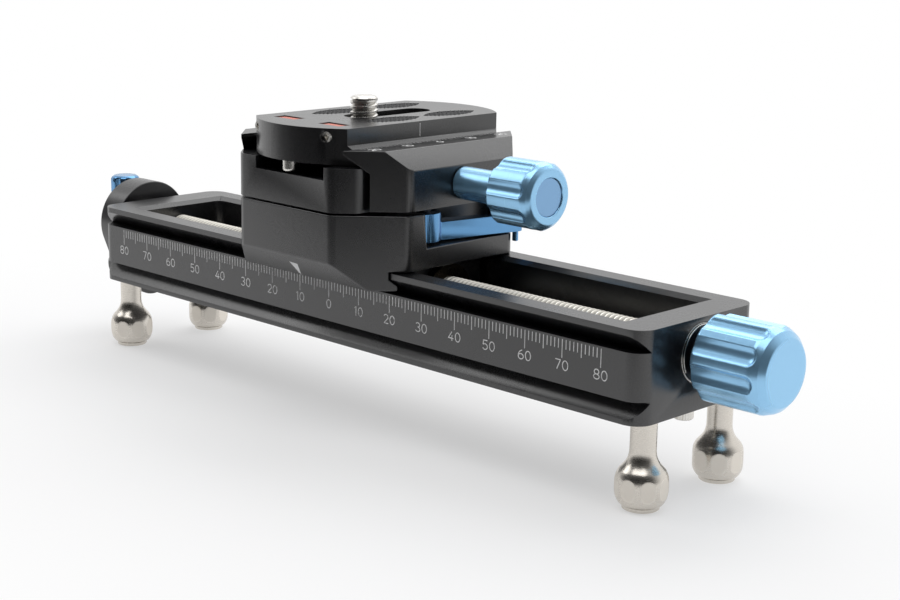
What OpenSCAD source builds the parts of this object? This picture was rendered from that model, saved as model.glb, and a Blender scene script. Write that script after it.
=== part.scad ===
// Macro focusing rail: a 180 mm dovetail rail on four screw-in legs, a carriage driven by a
// lead screw, a panning clamp with a moving jaw, and a quick plate with a camera screw.
// Units are millimetres. X runs along the rail towards the drive knob, Z is up, the floor
// is z = 0, and x = 0 is the zero of the ruler on the -Y face.

/* [Rail] */
// length of the rail along X
rail_length = 180; // [150:1:240]
// width of the rail along Y
rail_w = 38; // [34:0.5:46]
// height of the rail section
rail_h = 19.2; // [18:0.1:24]
// radius of the four upright corners
rail_r = 4.2; // [3:0.1:6]
// height of the rail's underside above the floor
leg_h = 18.4; // [16:0.1:30]
// thickness of the dovetail lip at the top edge
lip_t = 1.3; // [1:0.1:2]
// depth of the two side grooves, cut at 45 degrees
groove_d = 3.3; // [2.5:0.1:3.6]
// height of the ruler face between the grooves
scale_h = 9.8; // [8:0.1:12]
// thickness of the lower lip
low_lip = 1.1; // [0.8:0.1:1.6]
// wall left at each end of the open pocket
pocket_end = 9; // [7:0.5:12]
// wall left at each side of the open pocket
pocket_side = 5.8; // [5:0.1:7]
// corner radius of the pocket
pocket_r = 2; // [1:0.5:3]
// chamfer around the top of the pocket
pocket_cham = 1; // [0.5:0.1:1.5]
// thickness of the web under the pocket
floor_t = 4.2; // [3.5:0.1:4.6]
// radius of the large tripod hole
tripod_big_r = 4.76; // [4.76:0.01:4.8]
// radius of the two small tripod holes
tripod_small_r = 3.175; // [3.15:0.005:3.2]
// distance of each small tripod hole from the middle
tripod_pitch = 25; // [20:1:40]

/* [Legs] */
// distance of each leg from the rail's end face
leg_in = 3.5; // [3:0.1:6]
// half of the distance between the legs across the rail
leg_y = 12.8; // [11:0.1:14]
// angle of the ball's shoulder above its middle, degrees
shoulder_a = 38; // [30:1:45]
// angle of the ball's lower edge below its middle, degrees
heel_a = 49; // [40:1:55]
// radius of the straight neck
neck_r = 2.7; // [2:0.1:3.5]
// length of the straight neck
neck_l = 4.6; // [3:0.1:8]
// radius of the ball
ball_r = 5.45; // [4.5:0.05:6]
// height of the ball's centre above the floor
ball_z = 4.9; // [4.6:0.1:6]
// distance of each flat from the leg's axis
flat_in = 5.06; // [4.9:0.02:5.4]
// number of flats around the ball
flat_n = 8; // [6:1:10]
// radius of the bottom ring
ring_r = 3.7; // [3:0.1:4.4]
// height of the bottom ring
ring_h = 1; // [0.8:0.1:1.5]
// radius of the stud above the neck
stud_r = 1.9; // [1.5:0.1:2.4]
// length of the stud above the neck
stud_l = 6; // [4:0.5:8]
// radius of the small stop screws under the rail
stop_r = 2.1; // [1.6:0.1:2.6]
// height of the stop screw heads
stop_h = 2.5; // [1.5:0.1:4]

/* [Lead screw] */
// outside radius of the thread
screw_r = 4; // [3:0.1:4.5]
// height of the screw's axis above the rail's underside
axis_up = 11.8; // [11:0.1:13]
// radius of the journals at both ends
journal_r = 3; // [2.5:0.1:3.5]
// outside radius of the bearing bushes
bush_r = 5.7; // [5:0.1:6.4]
// outside radius of the bright retaining rings
clip_r = 6.4; // [5.8:0.1:6.8]
// thickness of the retaining rings
clip_t = 0.5; // [0.3:0.05:0.8]
// running clearance around a turning shaft
fit = 0.06; // [0.04:0.01:0.08]
// gap between neighbouring moving parts
gap = 0.3; // [0.3:0.05:0.5]

/* [Drive knob] */
// radius of the drive knob
knob_r = 9; // [8:0.1:10]
// length of the drive knob
knob_l = 16.6; // [14:0.2:20]
// distance from the rail's end to the knob
knob_off = 3.5; // [3:0.1:5]
// radius of the knob's flat end
knob_face_r = 6.9; // [6:0.1:8]
// length of the cone before the flat end
knob_cone = 3; // [2:0.1:4]
// number of flutes around a knob
flute_n = 10; // [8:1:12]
// radius of the cutter that makes the flutes
flute_r = 2.6; // [2:0.1:3.2]
// depth of the flutes
flute_d = 0.9; // [0.5:0.05:1.2]
// radius of the dark hub behind the knob
hub_r = 4.6; // [4:0.1:5.4]

/* [Crank] */
// radius of the arm's round end on the screw
arm_r = 11.3; // [10:0.1:12]
// radius of the arm's small end
arm_tip_r = 6.7; // [6:0.1:8]
// distance between the two ends of the arm
arm_drop = 13.2; // [12:0.1:15]
// thickness of the arm
arm_t = 8; // [6:0.5:10]
// distance from the rail's end to the arm
arm_off = 4; // [3.5:0.1:6]
// radius of the folding grip
grip_r = 3.9; // [3.5:0.05:4]
// height of the folded grip's end above the screw's axis
grip_over = 11.6; // [10:0.1:13]
// radius of the grip's fold joint
ear_r = 3.5; // [3:0.1:3.6]
// thickness of each ear of the fold joint
ear_t = 2; // [1.5:0.1:2.5]
// radius of the fold joint's pin
fold_pin_r = 1.2; // [1:0.05:1.5]
// radius of the axle inside the grip
grip_axle_r = 1.7; // [1.4:0.1:2]
// radius of the screw head in the arm's end
arm_screw_r = 4.2; // [3:0.1:5]
// depth of the screw head in the arm's end
arm_screw_t = 3; // [2:0.1:4]

/* [Carriage] */
// middle of the carriage along the ruler as shown
carriage_x = -4.2; // [-50:0.1:50]
// half length of the carriage along X
car_hx = 27.6; // [26:0.1:30]
// thickness of the claws outside the rail's sides
claw_t = 9.5; // [8.5:0.1:12]
// reach of the claws inwards past the rail's sides
claw_reach = 1; // [0.8:0.1:1.4]
// size of the carriage's corner chamfers, seen from above
car_cut = 12.2; // [8:0.1:14]
// height of the carriage's top above the rail's top
car_top = 12.7; // [12:0.1:16]
// depth of the 45 degree bevel over the ruler
bevel_d = 5.8; // [5:0.1:6]
// height of the claw's bottom above the groove's floor
claw_up = 0.6; // [0.4:0.1:1]
// height of the carriage's underside above the rail's top
under_gap = 0.3; // [0.3:0.05:0.5]
// half length of the nut block inside the pocket
block_hx = 22; // [18:0.5:24]
// gap between the nut block and the pocket's walls
block_side = 1.2; // [0.8:0.1:2]
// gap under the nut block
block_up = 1.4; // [1:0.1:2]
// radius of the bronze nut
nut_r = 5.8; // [5.2:0.1:6]
// radius of the nut's flange
nut_flange_r = 6.9; // [6.4:0.1:7]
// thickness of the nut's flange
nut_flange_t = 2; // [1.5:0.1:3]
// radius of the two screws in the nut's flange
nut_screw_r = 0.9; // [0.7:0.1:1.1]

/* [Pan lock] */
// radius of the pan pivot
pivot_r = 14; // [12:0.5:15]
// depth of the pan pivot in the carriage
pivot_d = 6.3; // [5:0.1:7]
// depth of the recess for the lever, down from the carriage's top
slot_d = 7.7; // [7:0.1:9]
// distance of the recess's inner wall from the pivot
slot_x = 16.5; // [16:0.1:18]
// distance of the recess's near wall from the pivot
slot_y = 10.9; // [10:0.1:12]
// distance of the recess's far wall from the pivot
slot_far = 20; // [18:0.5:22]
// lever hub, distance from the pivot along X
lever_x = 21.5; // [21:0.1:22]
// lever hub, distance from the pivot along Y
lever_y = -6.4; // [-7:0.1:-6]
// radius of the lever's hub
lever_hub_r = 4.2; // [3.6:0.1:4.3]
// height of the lever's hub
lever_hub_h = 6.6; // [5:0.1:6.8]
// length of the lever from its hub to its tip
lever_l = 25; // [20:0.5:28]
// width of the lever at its hub
lever_w = 5.2; // [4:0.1:6]
// radius of the lever's round tip
lever_tip_r = 1.5; // [1.2:0.1:2.4]
// thickness of the lever's arm
lever_t = 4.2; // [3:0.1:4.6]
// lean of the lever out of the recess, degrees
lever_lean = 14; // [10:1:20]
// radius of the finger pad under the lever's tip
pad_r = 0.7; // [0.5:0.1:1]
// length of the finger pad
pad_h = 2.4; // [1.5:0.1:3]
// radius of the lever's post
post_r = 1.8; // [1.5:0.1:2]

/* [Clamp] */
// gap between the carriage and the turning clamp
turn_gap = 0.5; // [0.4:0.1:1]
// height of the clamp body below the plate
body_h = 9.7; // [9:0.1:12]
// height of the jaws above the clamp body's top
jaw_h = 3.9; // [3.6:0.1:4.4]
// thickness of the two jaws
jaw_t = 6.4; // [5.5:0.1:8]
// size of the outer 45 degree bevel of the jaws
jaw_bevel = 4.2; // [3.5:0.1:4.5]
// thickness of the jaw lip over the dovetail
jaw_lip = 0.8; // [0.6:0.1:1.2]
// gap between the clamp body and the closed moving jaw
jaw_gap = 1.5; // [0.8:0.1:3]
// reach of the clamp body past the plate's foot
body_past = 0.9; // [0.5:0.1:1.5]
// rise of the moving jaw above the clamp body's underside
jaw_up = 0.4; // [0.3:0.1:0.8]
// depth of the stop notches, down from the clamp body's top
notch_d = 2.8; // [2.8:0.1:3.4]
// notch, distance of its left wall from the middle
notch_l = 9.8; // [8:0.1:12]
// notch, distance of its right wall from the middle
notch_r = 13.2; // [12:0.1:14]
// depth of the stop notches from the clamp's end faces
notch_in = 12.5; // [10:0.5:14]
// half of the distance between the jaw's guide pins
guide_y = 15; // [13:0.5:16]
// radius of the guide pins
guide_r = 1.7; // [1.3:0.1:1.9]
// reach of the guide pins into the clamp body
guide_l = 9; // [7:0.5:11]
// radius of the clamp screw
clamp_r = 2.5; // [2:0.1:3]
// reach of the clamp screw into the clamp body
clamp_l = 12; // [10:0.5:14]
// height of the clamp screw above the clamp body's underside
clamp_up = 5.3; // [5:0.1:5.4]

/* [Clamp knob] */
// radius of the blue neck
neck2_r = 3.7; // [3.2:0.1:4]
// length of the blue neck
neck2_l = 13.4; // [10:0.1:16]
// radius of the clamp knob
knob2_r = 7.5; // [6.5:0.1:8]
// length of the clamp knob
knob2_l = 12; // [10:0.1:14]
// radius of the clamp knob's flat end
knob2_face_r = 6.2; // [5.4:0.1:6.6]
// length of the cone before the flat end
knob2_cone = 2; // [1.5:0.1:3]
// radius of the cap in the knob's end
cap_r = 4.1; // [3.4:0.1:4.6]
// depth of the cap's seat
cap_d = 1.2; // [0.8:0.1:2]

/* [Quick plate] */
// half width of the plate's upper part
plate_hx = 15.45; // [14:0.05:16]
// half width of the dovetail at the bottom
plate_foot = 19; // [18:0.1:19.4]
// thickness of the plate
plate_t = 7.9; // [7:0.1:9]
// height of the upright edge under the dovetail
plate_edge = 0.65; // [0.5:0.05:1]
// overhang of the plate's round ends past the clamp's end faces
plate_over = 1.1; // [0:0.1:3]
// radius of the round ends
plate_end_r = 22.9; // [20:0.1:26]
// camera screw, place along Y
cam_y = -4.5; // [-6:0.1:10]
// camera screw, radius
cam_r = 3.175; // [3.15:0.005:3.2]
// camera screw, height above the plate
cam_up = 4.6; // [3.5:0.1:6]
// camera screw, radius of the shank under its thread
cam_neck_r = 2.5; // [2:0.1:2.8]
// camera screw, radius of its head
cam_head_r = 5; // [4.6:0.1:5.4]
// camera screw, height of its head
cam_head_h = 2.2; // [1.8:0.1:2.6]
// slot, near end of the screw's travel along Y
slot_near = -6; // [-8:0.5:-5]
// slot, far end of the screw's travel along Y
slot_end = 12; // [10:0.5:14]
// clearance around the camera screw in the slot
slot_fit = 0.3; // [0.3:0.05:0.5]
// half length of the almond grips
leaf_a = 8.3; // [7:0.1:9]
// half width of the almond grips
leaf_b = 3.4; // [3:0.1:4]
// distance of the grips from the middle along X
leaf_x = 9.2; // [8:0.1:10]
// place of the near grips along Y
leaf_near = -4; // [-6:0.5:-3]
// place of the far grips along Y
leaf_far = 14; // [13:0.5:15]
// depth of the grips in the plate
leaf_d = 0.8; // [0.5:0.1:1.2]
// height of the grips above the plate
leaf_up = 0.15; // [0.1:0.05:0.4]
// red pads, size along X
red_x = 7; // [5:0.1:8]
// red pads, size along Y
red_y = 3.4; // [3:0.1:4]
// red pads, distance from the middle along X
red_off = 7.6; // [6:0.1:9]
// red pads, distance of their middle from the plate's near end
red_in = 9.2; // [8:0.1:11]
// depth of the red pads' recesses
red_d = 1.6; // [1:0.1:2]
// thickness of the red pads
red_t = 1.1; // [0.6:0.1:1.4]
// radius of the stop pins under the plate
pin_r = 1.9; // [1.5:0.1:2.2]
// distance of the stop pins from the plate's ends
pin_in = 3.2; // [2.5:0.1:4]
// length of the stop pins below the plate
pin_h = 2.8; // [2:0.1:2.8]
// radius of the small set screws in the plate's ends
grub_r = 1.2; // [1:0.1:1.4]
// distance of the set screws from the middle along X
grub_x = 11.6; // [10:0.1:12]
// distance of the set screws below the plate's top
grub_z = 1.9; // [1.6:0.1:2.4]
// length of the set screws
grub_l = 2.5; // [2:0.1:4]
// depth of the hex sockets in screw heads
hex_d = 0.8; // [0.5:0.1:1.5]

/* [Hidden] */
$fn = 96;
over = 1;
rail_hx = rail_length / 2;
rail_hy = rail_w / 2;
rail_top = leg_h + rail_h;
groove_z = rail_top - lip_t - groove_d;
scale_z = groove_z - scale_h;
axis_z = leg_h + axis_up;
pocket_hx = rail_hx - pocket_end;
pocket_hy = rail_hy - pocket_side;
pocket_z = leg_h + floor_t;
knob_x = rail_hx + knob_off;
arm_x = rail_hx + arm_off;
grip_x = arm_x + arm_t + gap + grip_r;
fold_z = axis_z - arm_drop;
grip_z = fold_z + grip_r;
car_z = rail_top + under_gap;
car_hy = rail_hy + claw_t;
car_oct = car_hx + car_hy - car_cut;
body_in = plate_foot + body_past;
jaw_in = body_in + jaw_gap;
jaw_hx = jaw_in + jaw_t;
notch_y = car_hy - notch_in;
plate_hy = car_hy + plate_over;
pin_y = plate_hy - pin_in;
red_at = red_in - plate_hy;
claw_z = groove_z + claw_up;
car_zt = rail_top + car_top;
slot_z = car_zt - slot_d;
body_z = car_zt + turn_gap;
body_zt = body_z + body_h;
jaw_zt = body_zt + jaw_h;
plate_z = body_zt + gap;
plate_zt = plate_z + plate_t;
// the plate's 45 degree faces lie on |x| + z = plate_sum, the jaws' on jaw_sum
plate_sum = plate_foot + plate_z + plate_edge;
jaw_sum = plate_sum + gap * sqrt(2);
clamp_z = body_z + clamp_up;
end_y = plate_hy - plate_end_r;
block_z = pocket_z + block_up;
lever_z = slot_z + gap + gap / 3;
cam_z = plate_z + gap;
clip_z = cam_z + cam_head_h + gap / 2;
clip_h = gap * 2.5;
thread_z = plate_zt + gap;

module along_x(x) {
    translate([x, 0, axis_z])
    rotate([0, 90, 0])
    children();
}

module round_block(hx, hy, r, h) {
    linear_extrude(h)
    union() {
        square([2 * (hx - r), 2 * hy], center = true);
        square([2 * hx, 2 * (hy - r)], center = true);
        for (sx = [-1, 1])
            for (sy = [-1, 1])
                translate([sx * (hx - r), sy * (hy - r)])
                circle(r);
    }
}

// a profile drawn in Y and Z, carried along X from -half to half
module sweep_x(half) {
    rotate([90, 0, 90])
    translate([0, 0, -half])
    linear_extrude(2 * half)
    children();
}

// a profile drawn in X and Z, carried along Y from -half to half
module sweep_y(half) {
    rotate([90, 0, 0])
    translate([0, 0, -half])
    linear_extrude(2 * half)
    children();
}

// the eight-sided outline shared by the carriage and the clamp
module octagon(hx, hy, oct, z, h) {
    translate([0, 0, z])
    linear_extrude(h)
    polygon([[hx, hx - oct], [hx, oct - hx], [oct - hy, hy], [hy - oct, hy],
        [-hx, oct - hx], [-hx, hx - oct], [hy - oct, -hy], [oct - hy, -hy]]);
}

module hex_socket(r, d) {
    translate([0, 0, -d])
    linear_extrude(d + over)
    polygon([for (i = [0 : 5]) [r * cos(60 * i), r * sin(60 * i)]]);
}

module rail_frame() {
    color([0.05, 0.05, 0.06])
    difference() {
        translate([0, 0, leg_h])
        round_block(rail_hx, rail_hy, rail_r, rail_h);
        translate([0, 0, pocket_z])
        round_block(pocket_hx, pocket_hy, pocket_r, rail_top - pocket_z + over);
        pocket_chamfer();
        for (s = [-1, 1])
            sweep_x(rail_hx + over)
            side_grooves(s);
        along_x(-rail_hx - over)
        cylinder(r = bush_r, h = rail_length + 2 * over);
        for (s = [-1, 1])
            along_x(s * rail_hx - clip_t)
            cylinder(r = clip_r, h = 2 * clip_t);
        tripod_holes();
        for (sx = [-1, 1])
            for (sy = [-1, 0, 1])
                translate([sx * (rail_hx - leg_in), sy * leg_y, leg_h - over])
                cylinder(r = stud_r, h = stud_l + over);
    }
}

module pocket_chamfer() {
    grow = pocket_cham + over;
    intersection() {
        sweep_x(rail_hx)
        polygon([[-pocket_hy, rail_top - pocket_cham], [pocket_hy, rail_top - pocket_cham],
            [pocket_hy + grow, rail_top + over], [-pocket_hy - grow, rail_top + over]]);
        sweep_y(rail_hy)
        polygon([[-pocket_hx, rail_top - pocket_cham], [pocket_hx, rail_top - pocket_cham],
            [pocket_hx + grow, rail_top + over], [-pocket_hx - grow, rail_top + over]]);
    }
}

module side_grooves(s) {
    y0 = s * rail_hy;
    y1 = s * (rail_hy - groove_d);
    y2 = s * (rail_hy + over);
    polygon([[y2, groove_z], [y1, groove_z], [y0, groove_z + groove_d],
        [y2, groove_z + groove_d]]);
    polygon([[y2, leg_h + low_lip], [y0, leg_h + low_lip],
        [y1, leg_h + low_lip + groove_d], [y1, scale_z], [y2, scale_z]]);
}

module tripod_holes() {
    translate([0, 0, leg_h - over])
    cylinder(r = tripod_big_r, h = floor_t + 2 * over);
    for (s = [-1, 1])
        translate([s * tripod_pitch, 0, leg_h - over])
        cylinder(r = tripod_small_r, h = floor_t + 2 * over);
}

module bush(s) {
    color([0.35, 0.33, 0.30])
    difference() {
        along_x(min(s * pocket_hx, s * rail_hx))
        cylinder(r = bush_r, h = pocket_end);
        along_x(-rail_hx - over)
        cylinder(r = journal_r + fit, h = rail_length + 2 * over);
    }
}

module bearing_right() {
    bush(1);
}

module bearing_left() {
    bush(-1);
}

module retaining_ring(s) {
    color([0.78, 0.78, 0.80])
    difference() {
        along_x(s * rail_hx - clip_t)
        cylinder(r = clip_r, h = 2 * clip_t);
        along_x(s * rail_hx - clip_t - over)
        cylinder(r = bush_r, h = 2 * clip_t + 2 * over);
    }
}

module ring_right() {
    retaining_ring(1);
}

module ring_left() {
    retaining_ring(-1);
}

module rail_stop_screws() {
    color([0.78, 0.77, 0.74])
    for (sx = [-1, 1])
        translate([sx * (rail_hx - leg_in), 0, leg_h])
        union() {
            translate([0, 0, -stop_h])
            cylinder(r = stop_r, h = stop_h);
            cylinder(r = stud_r, h = stud_l);
        }
}

module leg(sx, sy) {
    neck_z = leg_h - neck_l;
    // the flare is a quarter arc from the ball's shoulder up to the neck
    sx0 = ball_r * cos(shoulder_a);
    sz0 = ball_z + ball_r * sin(shoulder_a);
    color([0.75, 0.73, 0.69])
    translate([sx * (rail_hx - leg_in), sy * leg_y, 0])
    union() {
        difference() {
            rotate_extrude()
            polygon(concat(
                [[0, leg_h], [neck_r, leg_h], [neck_r, neck_z]],
                [for (i = [1 : 8])
                    let (t = i / 8, c = 1 - cos(90 * t))
                    [neck_r + (sx0 - neck_r) * c, neck_z + (sz0 - neck_z) * sin(90 * t)]],
                [for (i = [1 : 16])
                    let (a = shoulder_a - (shoulder_a + heel_a) * i / 16)
                    [ball_r * cos(a), ball_z + ball_r * sin(a)]],
                [[ring_r - ring_h / 4, ring_h], [0, ring_h]]));
            for (i = [0 : flat_n - 1])
                rotate([0, 0, (i + 0.5) * 360 / flat_n])
                translate([flat_in, -ball_r, 0])
                cube([ball_r, 2 * ball_r, ball_z + ball_r]);
        }
        cylinder(r = ring_r, h = ring_h);
        translate([0, 0, leg_h])
        cylinder(r = stud_r, h = stud_l);
    }
}

module leg_front_right() {
    leg(1, -1);
}

module leg_back_right() {
    leg(1, 1);
}

module leg_front_left() {
    leg(-1, -1);
}

module leg_back_left() {
    leg(-1, 1);
}

module lead_screw() {
    thread_hx = pocket_hx - gap;
    color([0.85, 0.82, 0.74])
    union() {
        along_x(-thread_hx)
        cylinder(r = screw_r, h = 2 * thread_hx);
        along_x(-arm_x)
        cylinder(r = journal_r, h = arm_x + knob_x);
    }
}

module drive_hub() {
    color([0.08, 0.09, 0.11])
    difference() {
        along_x(rail_hx + clip_t + gap)
        cylinder(r = hub_r, h = knob_off - clip_t - gap);
        along_x(rail_hx)
        cylinder(r = journal_r, h = knob_off + over);
    }
}

// a fluted knob that starts at z = 0 and has its flat end at z = l
module fluted_knob(r, l, face_r, cone) {
    difference() {
        rotate_extrude()
        polygon([[0, 0], [r - flute_d / 2, 0], [r, flute_d / 2], [r, l - cone],
            [face_r + (r - face_r) / 2, l - cone / 3], [face_r, l], [0, l]]);
        for (i = [0 : flute_n - 1])
            rotate([0, 0, (i + 0.5) * 360 / flute_n])
            translate([r + flute_r - flute_d, 0, 0]) {
                translate([0, 0, -over])
                cylinder(r = flute_r, h = l - cone + over - flute_r / 2);
                translate([0, 0, l - cone - flute_r / 2])
                sphere(r = flute_r);
            }
    }
}

module drive_knob() {
    color([0.22, 0.50, 0.80])
    along_x(knob_x)
    fluted_knob(knob_r, knob_l, knob_face_r, knob_cone);
}

module crank_hub() {
    color([0.08, 0.09, 0.11])
    difference() {
        along_x(-arm_x)
        cylinder(r = hub_r, h = arm_off - clip_t - gap);
        along_x(-arm_x - over)
        cylinder(r = journal_r, h = arm_off + over);
    }
}

// teardrop outline of the arm, drawn in Y and Z
module arm_outline() {
    lean = asin((arm_r - arm_tip_r) / arm_drop);
    union() {
        translate([0, axis_z])
        circle(arm_r);
        translate([0, fold_z])
        circle(arm_tip_r);
        polygon([
            [arm_r * cos(lean), axis_z - arm_r * sin(lean)],
            [arm_tip_r * cos(lean), fold_z - arm_tip_r * sin(lean)],
            [-arm_tip_r * cos(lean), fold_z - arm_tip_r * sin(lean)],
            [-arm_r * cos(lean), axis_z - arm_r * sin(lean)]]);
    }
}

module crank_arm() {
    ear_y = grip_r + gap;
    slot_y2 = grip_r - ear_t / 2;
    color([0.06, 0.06, 0.07])
    difference() {
        union() {
            translate([-arm_x - arm_t / 2, 0, 0])
            sweep_x(arm_t / 2)
            arm_outline();
            translate([-grip_x, ear_y, fold_z])
            rotate([90, 0, 0])
            cylinder(r = ear_r, h = 2 * ear_y);
            translate([-grip_x, -ear_y, fold_z - ear_r])
            cube([grip_x - arm_x - arm_t, 2 * ear_y, 2 * ear_r]);
        }
        translate([-grip_x - ear_r - over, -slot_y2, fold_z - ear_r - over])
        cube([ear_r + over + grip_x - arm_x - arm_t, 2 * slot_y2, 2 * ear_r + 2 * over]);
        translate([-grip_x, ear_y + over, fold_z])
        rotate([90, 0, 0])
        cylinder(r = fold_pin_r, h = 2 * ear_y + 2 * over);
        along_x(-arm_x - arm_t - over)
        cylinder(r = arm_screw_r, h = arm_screw_t + over);
    }
}

module crank_screw() {
    color([0.20, 0.20, 0.21])
    difference() {
        along_x(-arm_x - arm_t)
        cylinder(r = arm_screw_r, h = arm_screw_t);
        translate([-arm_x - arm_t, 0, axis_z])
        rotate([0, -90, 0])
        hex_socket(arm_screw_r / 2, arm_screw_t / 2);
    }
}

module fold_pin() {
    ear_y = grip_r + gap;
    color([0.78, 0.78, 0.80])
    translate([-grip_x, ear_y, fold_z])
    rotate([90, 0, 0])
    cylinder(r = fold_pin_r, h = 2 * ear_y);
}

module crank_stem() {
    tongue_y = grip_r - ear_t / 2 - gap;
    tongue_r = ear_r - gap - ear_t / 10;
    color([0.30, 0.30, 0.32])
    difference() {
        translate([-grip_x, 0, 0])
        union() {
            translate([0, tongue_y, fold_z])
            rotate([90, 0, 0])
            cylinder(r = tongue_r, h = 2 * tongue_y);
            translate([-tongue_r, -tongue_y, fold_z])
            cube([2 * tongue_r, 2 * tongue_y, grip_r]);
            translate([0, 0, grip_z])
            cylinder(r = grip_axle_r, h = axis_z + grip_over - grip_z - ear_t);
        }
        translate([-grip_x, grip_r + over, fold_z])
        rotate([90, 0, 0])
        cylinder(r = fold_pin_r + fit, h = 2 * grip_r + 2 * over);
    }
}

module crank_grip() {
    grip_z0 = grip_z + gap;
    grip_l = axis_z + grip_over - grip_z0;
    cut_r = flute_r / 2;
    color([0.22, 0.50, 0.80])
    translate([-grip_x, 0, grip_z0])
    difference() {
        rotate_extrude()
        polygon([[0, 0], [grip_r, 0], [grip_r, grip_l - flute_d], [grip_r - flute_d, grip_l],
            [0, grip_l]]);
        translate([0, 0, -over])
        cylinder(r = grip_axle_r + fit, h = grip_l - ear_t + gap / 2 + over);
        for (i = [0 : flute_n - 3])
            rotate([0, 0, (i + 0.5) * 360 / (flute_n - 2)])
            translate([grip_r + cut_r - flute_d / 2, 0, -over])
            cylinder(r = cut_r, h = grip_l + 2 * over);
    }
}

module carriage() {
    in0 = rail_hy - claw_reach;
    in1 = rail_hy + gap + gap / 3;
    rise = in1 - in0;
    slope_z = rail_top - lip_t;
    color([0.05, 0.05, 0.06])
    translate([carriage_x, 0, 0])
    difference() {
        intersection() {
            octagon(car_hx, car_hy, car_oct, claw_z, car_zt - claw_z);
            sweep_x(car_hx)
            polygon([[-in1, car_z], [in1, car_z], [in1, slope_z], [in0, slope_z - rise],
                [in0, claw_z], [car_hy - bevel_d, claw_z], [car_hy, claw_z + bevel_d],
                [car_hy, car_zt], [-car_hy, car_zt], [-car_hy, claw_z + bevel_d],
                [bevel_d - car_hy, claw_z], [-in0, claw_z], [-in0, slope_z - rise],
                [-in1, slope_z]]);
        }
        translate([0, 0, car_zt - pivot_d - gap])
        cylinder(r = pivot_r + fit, h = pivot_d + gap + over);
        translate([slot_x, -slot_y, slot_z])
        cube([car_hx, slot_y + slot_far, slot_d + over]);
        translate([lever_x, lever_y, slot_z - pivot_d / 2])
        cylinder(r = post_r, h = pivot_d);
    }
}

module nut_block() {
    hy = pocket_hy - block_side;
    color([0.09, 0.09, 0.10])
    translate([carriage_x, 0, 0])
    difference() {
        translate([-block_hx, -hy, block_z])
        cube([2 * block_hx, 2 * hy, car_z - block_z]);
        along_x(-block_hx - over)
        cylinder(r = nut_r, h = 2 * block_hx + 2 * over);
    }
}

module drive_nut() {
    color([0.75, 0.62, 0.36])
    translate([carriage_x, 0, 0])
    difference() {
        union() {
            along_x(-block_hx)
            cylinder(r = nut_r, h = 2 * block_hx);
            along_x(block_hx)
            cylinder(r = nut_flange_r, h = nut_flange_t);
        }
        along_x(-block_hx - over)
        cylinder(r = screw_r + fit, h = 2 * block_hx + nut_flange_t + 2 * over);
    }
}

module nut_screws() {
    at_y = (screw_r + nut_flange_r) / 2;
    color([0.78, 0.78, 0.80])
    translate([carriage_x, 0, 0])
    for (s = [-1, 1])
        translate([0, s * at_y, 0])
        along_x(block_hx + nut_flange_t)
        cylinder(r = nut_screw_r, h = nut_screw_r);
}

module lever_post() {
    color([0.30, 0.30, 0.32])
    translate([carriage_x + lever_x, lever_y, slot_z - pivot_d / 2])
    cylinder(r = post_r, h = car_zt - slot_z + pivot_d / 2 - gap);
}

module lock_lever() {
    color([0.16, 0.40, 0.70])
    translate([carriage_x + lever_x, lever_y, lever_z])
    difference() {
        rotate([0, 0, -lever_lean])
        union() {
            cylinder(r = lever_hub_r, h = lever_hub_h);
            linear_extrude(lever_t)
            polygon([[-lever_w / 2, 0], [lever_w / 2, 0], [lever_tip_r, lever_l],
                [-lever_tip_r, lever_l]]);
            translate([0, lever_l, 0])
            cylinder(r = lever_tip_r, h = lever_t);
            translate([0, lever_l, -pad_h])
            cylinder(r = pad_r, h = pad_h);
        }
        translate([0, 0, -over])
        cylinder(r = post_r + fit, h = lever_hub_h + 2 * over);
    }
}

module pan_pivot() {
    color([0.20, 0.20, 0.21])
    translate([carriage_x, 0, car_zt - pivot_d])
    cylinder(r = pivot_r, h = pivot_d + turn_gap);
}

module clamp_body() {
    color([0.05, 0.05, 0.06])
    translate([carriage_x, 0, 0])
    difference() {
        intersection() {
            octagon(jaw_hx, car_hy, car_oct, body_z, jaw_zt - body_z);
            sweep_y(car_hy)
            polygon([[body_in, body_z], [body_in, body_zt], [body_zt - jaw_sum, body_zt],
                [jaw_zt - jaw_lip - jaw_sum, jaw_zt - jaw_lip],
                [jaw_zt - jaw_lip - jaw_sum, jaw_zt], [jaw_bevel - jaw_hx, jaw_zt],
                [-jaw_hx, jaw_zt - jaw_bevel], [-jaw_hx, body_z]]);
        }
        for (s = [-1, 1])
            translate([-notch_l, s > 0 ? notch_y : -car_hy - over, body_zt - notch_d])
            cube([notch_l + notch_r, car_hy - notch_y + over, notch_d + over]);
        for (s = [-1, 1])
            translate([body_in - guide_l - gap, s * guide_y, clamp_z])
            rotate([0, 90, 0])
            cylinder(r = guide_r + fit, h = guide_l + over + gap);
        translate([body_in - clamp_l - gap, 0, clamp_z])
        rotate([0, 90, 0])
        cylinder(r = clamp_r + fit, h = clamp_l + over + gap);
    }
}

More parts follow.
